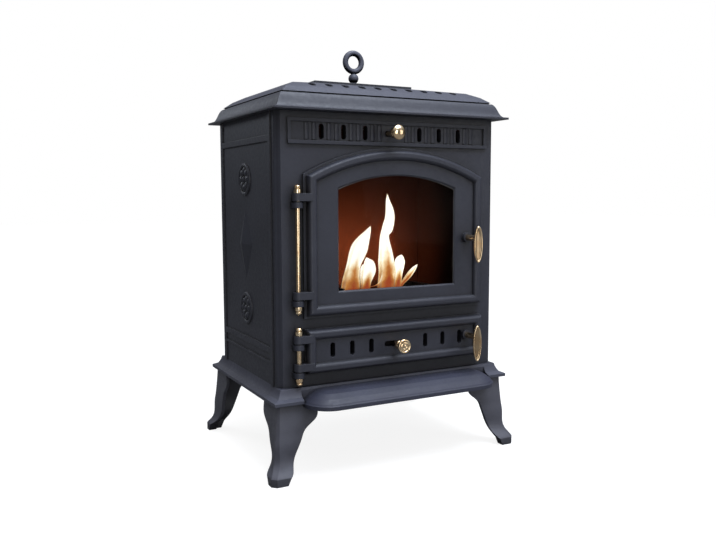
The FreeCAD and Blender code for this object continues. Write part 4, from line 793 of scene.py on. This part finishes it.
# Neck profile from the grip inwards, up to its straight part: distance in, radius, in millimetres
NECK_PROFILE = ((0, 0), (0, 5.0), (0.6, 5.6), (3.0, 6.4), (5.4, 5.6), (7.0, 5.0))
NECK_SET = 4              # start behind the front of the grip, in millimetres, as are the next two
NECK_END_RADIUS = 5.2
NECK_ROUNDING = 0.1
OUTWARDS = (0, -1, 0)     # out of the stove's front
INWARDS = (0, 1, 0)
UPWARDS = (0, 0, 1)
DOWNWARDS = (0, 0, -1)


def turned(profile, start, axis, rows=PROFILE_ROWS):
    """Surface of revolution: a smooth profile of distances and radii turned round an axis."""
    line = smooth_through(profile, rows) / MM_PER_METRE
    line[:, 1] = np.maximum(line[:, 1], 0.0)
    side = np.array([1.0, 0.0, 0.0])
    other = np.cross(axis, side)
    turn = round_turn(TURN_COLUMNS)
    spoke = np.cos(turn)[:, None] * side + np.sin(turn)[:, None] * other
    return np.asarray(start) + line[:, :1, None] * np.asarray(axis, float) + line[:, 1:, None] * spoke


def make_knob(name, node, body, profile, finish):
    """Turned knob: bulged neck, waist and a round head, on the stem of its plain solid."""
    low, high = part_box(node)
    middle = (low + high) / 2
    root = low.y + KNOB_LENGTH
    length = (high.y - root) * MM_PER_METRE + STEM_IN_KNOB
    stem_profile = ((0, 0), (0, STEM_RADIUS), (STEM_ROUNDING, STEM_RADIUS), (length, STEM_RADIUS),
                    (length + STEM_ROUNDING, 0))
    stem_start = (middle.x, root - STEM_IN_KNOB / MM_PER_METRE, middle.z)
    head = turned(profile, (middle.x, root, middle.z), OUTWARDS)
    stem = turned(stem_profile, stem_start, INWARDS, STEM_ROWS)
    mesh = joined(name, [head, stem])
    # The stem is marked for painted shade, the head is not.
    painted_shade = np.ones(len(mesh.vertices))
    painted_shade[:head.shape[0] * head.shape[1]] = 0
    mark(mesh, "painted_shade", painted_shade)
    place_piece(name, mesh, body, finish, [node])


def make_hinge_ends(finish):
    """Turned ends of both hinge rods: collar, neck and ball, upwards and downwards."""
    low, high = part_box("hinge_caps")
    x, y = (low.x + high.x) / 2, (low.y + high.y) / 2
    ends = []
    for rod in ("upper_hinge_rod", "lower_hinge_rod"):
        rod_low, rod_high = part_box(rod)
        ends.append(turned(CAP_PROFILE, (x, y, rod_high.z - CAP_SOCKET), UPWARDS))
        ends.append(turned(CAP_PROFILE, (x, y, rod_low.z + CAP_SOCKET), DOWNWARDS))
    mesh = joined("hinge_ends", ends)
    place_piece("hinge_ends", mesh, "stove_body", finish, ["hinge_caps"])


def make_grip(name, node, body, finish):
    """Oval dish on a turned neck.

    An ellipse is drawn in by the profile's inset, a little more at its long ends, and stands out by the
    profile's distance, which gives it a rolled rim and a dished face. The face of the dish is marked for
    painted shade."""
    low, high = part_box(node)
    middle = (low + high) / 2
    long, short = (high.z - low.z) / 2, (high.x - low.x) / 2
    line = smooth_through(GRIP_PROFILE, GRIP_ROWS) / MM_PER_METRE
    inset = np.clip(line[:, 1], 0, short)
    wide = short - inset
    tall = (long - inset * (long / short) ** GRIP_END_POWER) * np.clip(wide / GRIP_CLOSING, 0, 1)
    turn = np.linspace(2 * np.pi, 0, GRIP_COLUMNS, endpoint=False)
    points = np.empty((GRIP_ROWS, GRIP_COLUMNS, 3))
    points[..., 0] = middle.x + wide[:, None] * np.cos(turn)
    points[..., 1] = low.y + GRIP_THICK - line[:, :1]
    points[..., 2] = middle.z + tall[:, None] * np.sin(turn)
    neck_end = (high.y - low.y) * MM_PER_METRE - NECK_SET
    neck_profile = NECK_PROFILE + ((neck_end - NECK_ROUNDING, NECK_END_RADIUS), (neck_end, 0))
    neck_start = (middle.x, low.y + NECK_SET / MM_PER_METRE, high.z - PIN_BELOW_TOP)
    mesh = joined(name, [points, turned(neck_profile, neck_start, INWARDS)])
    # The face of the dish is marked for painted shade.
    in_front = np.arange(GRIP_ROWS) > GRIP_ROWS / 2
    dish = np.where(in_front, np.clip((inset - DISH_INSET) / DISH_FADE, 0, 1), 0)
    painted_shade = np.zeros(len(mesh.vertices))
    painted_shade[:GRIP_ROWS * GRIP_COLUMNS] = np.repeat(dish, GRIP_COLUMNS)
    mark(mesh, "painted_shade", painted_shade)
    place_piece(name, mesh, body, finish, [node])


# Studio

WALL_LIGHT = 0.06         # strength of the surroundings as light, low down and overhead
CEILING_LIGHT = 0.75
CEILING_FADE = (0.25, 0.85)    # upright part of the direction between the two
FLOOR_GLOW = 0.86
FLOOR_REACH = 12.0
MIDDLE = (0, 0, 0.4)      # where the lamps look
WHITE_LIGHT = (1, 1, 1)
COOL_LIGHT = (0.82, 0.89, 1.0)
# Square lamps: place, side, power in watts, colour
SQUARE_LAMPS = {
    "overhead_lamp": ((0.25, -0.7, 2.4), 1.6, 70, COOL_LIGHT),
    "front_lamp": ((1.7, -2.2, 0.8), 1.2, 10, WHITE_LIGHT),
    "left_lamp": ((-0.62, -2.3, 1.2), 0.35, 5, WHITE_LIGHT),
    "rear_lamp": ((-1.05, 1.9, 1.3), 0.5, 6, COOL_LIGHT),
    "strip_lamp": ((-0.9, -2.4, 0.5), 1.2, 16, WHITE_LIGHT),
}
GLOSS_ONLY = "strip_lamp"    # lamp that shows only as a reflection
# Lamp among the flames that throws their light on the back wall
FIRE_PLACE = (0.03, FLAME_Y + 0.030, SLOT_TOP + 0.060)
FIRE_POWER = 17.0
FIRE_COLOUR = (1.0, 0.22, 0.075)
FIRE_RADIUS = 0.03
FIRE_SPREAD = 150         # in degrees
TO_THE_BACK = (math.radians(90), 0, 0)


def make_camera():
    """Camera solved from the photograph: yaw from the depth axis, pitch and a trace of roll."""
    data = bpy.data.cameras.new("photo_camera")
    data.sensor_width = SENSOR_WIDTH
    data.lens = PHOTO_FOCAL_PIXELS / PHOTO_WIDTH * SENSOR_WIDTH
    data.clip_start = CAMERA_NEAR
    camera = in_scene("photo_camera", data)
    turn = Matrix.Rotation(math.radians(-CAMERA_YAW), 4, "Z")
    tilt = Matrix.Rotation(math.radians(90 + CAMERA_PITCH), 4, "X")
    roll = Matrix.Rotation(math.radians(CAMERA_ROLL), 4, "Z")
    camera.matrix_world = Matrix.Translation(CAMERA_PLACE) @ turn @ tilt @ roll
    bpy.context.scene.camera = camera


def seen_directly(tree):
    """1 for rays from the camera and for see-through rays, else 0."""
    path = add(tree, "ShaderNodeLightPath").outputs
    return maths(tree, "MAXIMUM", path["Is Camera Ray"], path["Is Transmission Ray"])


def make_floor():
    """Wide white floor: seen as white, with only a soft shadow of the stove left on it."""
    made, tree, output = blank("studio_floor")
    shaded = add(tree, "ShaderNodeBsdfDiffuse", {"Color": FLOOR_SEEN}).outputs["BSDF"]
    glow = glowing(tree, STUDIO_WHITE, FLOOR_GLOW)
    seen = add(tree, "ShaderNodeAddShader", {0: shaded, 1: glow}).outputs["Shader"]
    bounce = add(tree, "ShaderNodeBsdfDiffuse", {"Color": FLOOR_BOUNCE}).outputs["BSDF"]
    fill(tree, output, {"Surface": blended(tree, seen_directly(tree), bounce, seen)})
    mesh = bpy.data.meshes.new("studio_floor")
    corners = [(-FLOOR_REACH, -FLOOR_REACH, 0), (FLOOR_REACH, -FLOOR_REACH, 0),
               (FLOOR_REACH, FLOOR_REACH, 0), (-FLOOR_REACH, FLOOR_REACH, 0)]
    mesh.from_pydata(corners, [], [(0, 1, 2, 3)])
    mesh.materials.append(made)
    floor = in_scene("studio_floor", mesh)


def make_world():
    """White surroundings where they are seen; as light, a bright ceiling over dim walls."""
    world = bpy.data.worlds.new("studio_world")
    world.use_nodes = True
    tree = world.node_tree
    tree.nodes.clear()
    height = axes(tree, add(tree, "ShaderNodeTexCoord").outputs["Generated"])[2]
    room = spread(tree, height, CEILING_FADE, onto=(WALL_LIGHT, CEILING_LIGHT))
    strength = maths(tree, "MAXIMUM", room, seen_directly(tree))
    sky = add(tree, "ShaderNodeBackground", {"Color": STUDIO_WHITE, "Strength": strength})
    add(tree, "ShaderNodeOutputWorld", {"Surface": sky.outputs["Background"]})
    bpy.context.scene.world = world


def add_lamp(name, kind, place, power, colour, **settings):
    """Lamp of a kind in the scene, with its own settings."""
    data = bpy.data.lights.new(name, kind)
    data.energy = power
    data.color = colour
    for key, value in settings.items():
        setattr(data, key, value)
    lamp = in_scene(name, data)
    lamp.location = place
    return lamp


def make_lamps():
    """Soft square lamps round the stove, and the light of its fire."""
    for name, (place, side, power, colour) in SQUARE_LAMPS.items():
        lamp = add_lamp(name, "AREA", place, power, colour, shape="SQUARE", size=side)
        lamp.rotation_mode = "QUATERNION"
        lamp.rotation_quaternion = (Vector(MIDDLE) - Vector(place)).to_track_quat("-Z", "Y")
        lamp.visible_diffuse = name != GLOSS_ONLY
    fire = add_lamp("fire_lamp", "SPOT", FIRE_PLACE, FIRE_POWER, FIRE_COLOUR, shadow_soft_size=FIRE_RADIUS,
                    spot_size=math.radians(FIRE_SPREAD), spot_blend=1.0)
    fire.rotation_euler = TO_THE_BACK
    fire.visible_glossy = False


# Finishes of the solids: by material slot, apart from castings painted paler with light, or darker with
# shade, than the body

finishes = {
    "cast_iron": cast_iron("charcoal_cast_iron", IRON_DARK, IRON_PALE),
    "polished_brass": polished_brass(),
    "plain_steel": plated_steel(),
    "burner_steel": burner_steel(),
    "door_glass": door_pane(),
    "rope_seal": knitted_rope(),
    "ceramic_wool": ceramic_wool(),
}
# Paler copies with painted light on the legs, base, ledge and cover; a darker copy with painted shade on
# castings in the shade of others
lit_leg_iron = cast_iron("lit_leg_cast_iron", LIT_LEG_DARK, LIT_LEG_PALE)
lit_base_iron = cast_iron("lit_base_cast_iron", LIT_BASE_DARK, LIT_BASE_PALE)
lit_ledge_iron = cast_iron("lit_ledge_cast_iron", LIT_LEDGE_DARK, LIT_LEDGE_PALE)
lit_cover_iron = cast_iron("lit_cover_cast_iron", LIT_COVER_DARK, LIT_COVER_PALE)
shaded_iron = cast_iron("shaded_cast_iron", SHADED_DARK, SHADED_PALE, SHADED_SHEEN)
other_iron = {
    "front_left_leg": lit_leg_iron,
    "front_right_leg": lit_leg_iron,
    "rear_left_leg": lit_leg_iron,
    "rear_right_leg": lit_leg_iron,
    "lifting_ring": lit_base_iron,
    "base_plate": lit_base_iron,
    "hearth_ledge": lit_ledge_iron,
    "top_cover": lit_cover_iron,
    "glass_clips": shaded_iron,
    "ash_slide_plate": shaded_iron,
    "frieze_slide_plate": shaded_iron,
}
for entry in frame["record"]["subparts"]:
    solid = frame["nodes"][entry["node"]].data
    solid.materials.clear()
    solid.materials.append(other_iron.get(entry["node"], finishes[entry["material_slot"]]))

# Pieces and studio

brass = finishes["polished_brass"]
make_flames(flame_light(), painted_flame_glare())
make_seals(finishes["rope_seal"])
make_wool(finishes["ceramic_wool"])
make_knob("frieze_turned_knob", "frieze_knob", "frieze_air_slide", DOMED_KNOB, brass)
make_knob("ash_turned_knob", "ash_knob", "ash_air_slide", DISHED_KNOB, brass)
make_hinge_ends(brass)
make_grip("fire_oval_grip", "fire_handle_grip", "fire_handle", brass)
make_grip("ash_oval_grip", "ash_handle_grip", "ash_handle", brass)
make_camera()
make_floor()
make_world()
make_lamps()
bpy.context.scene.view_settings.view_transform = "Standard"
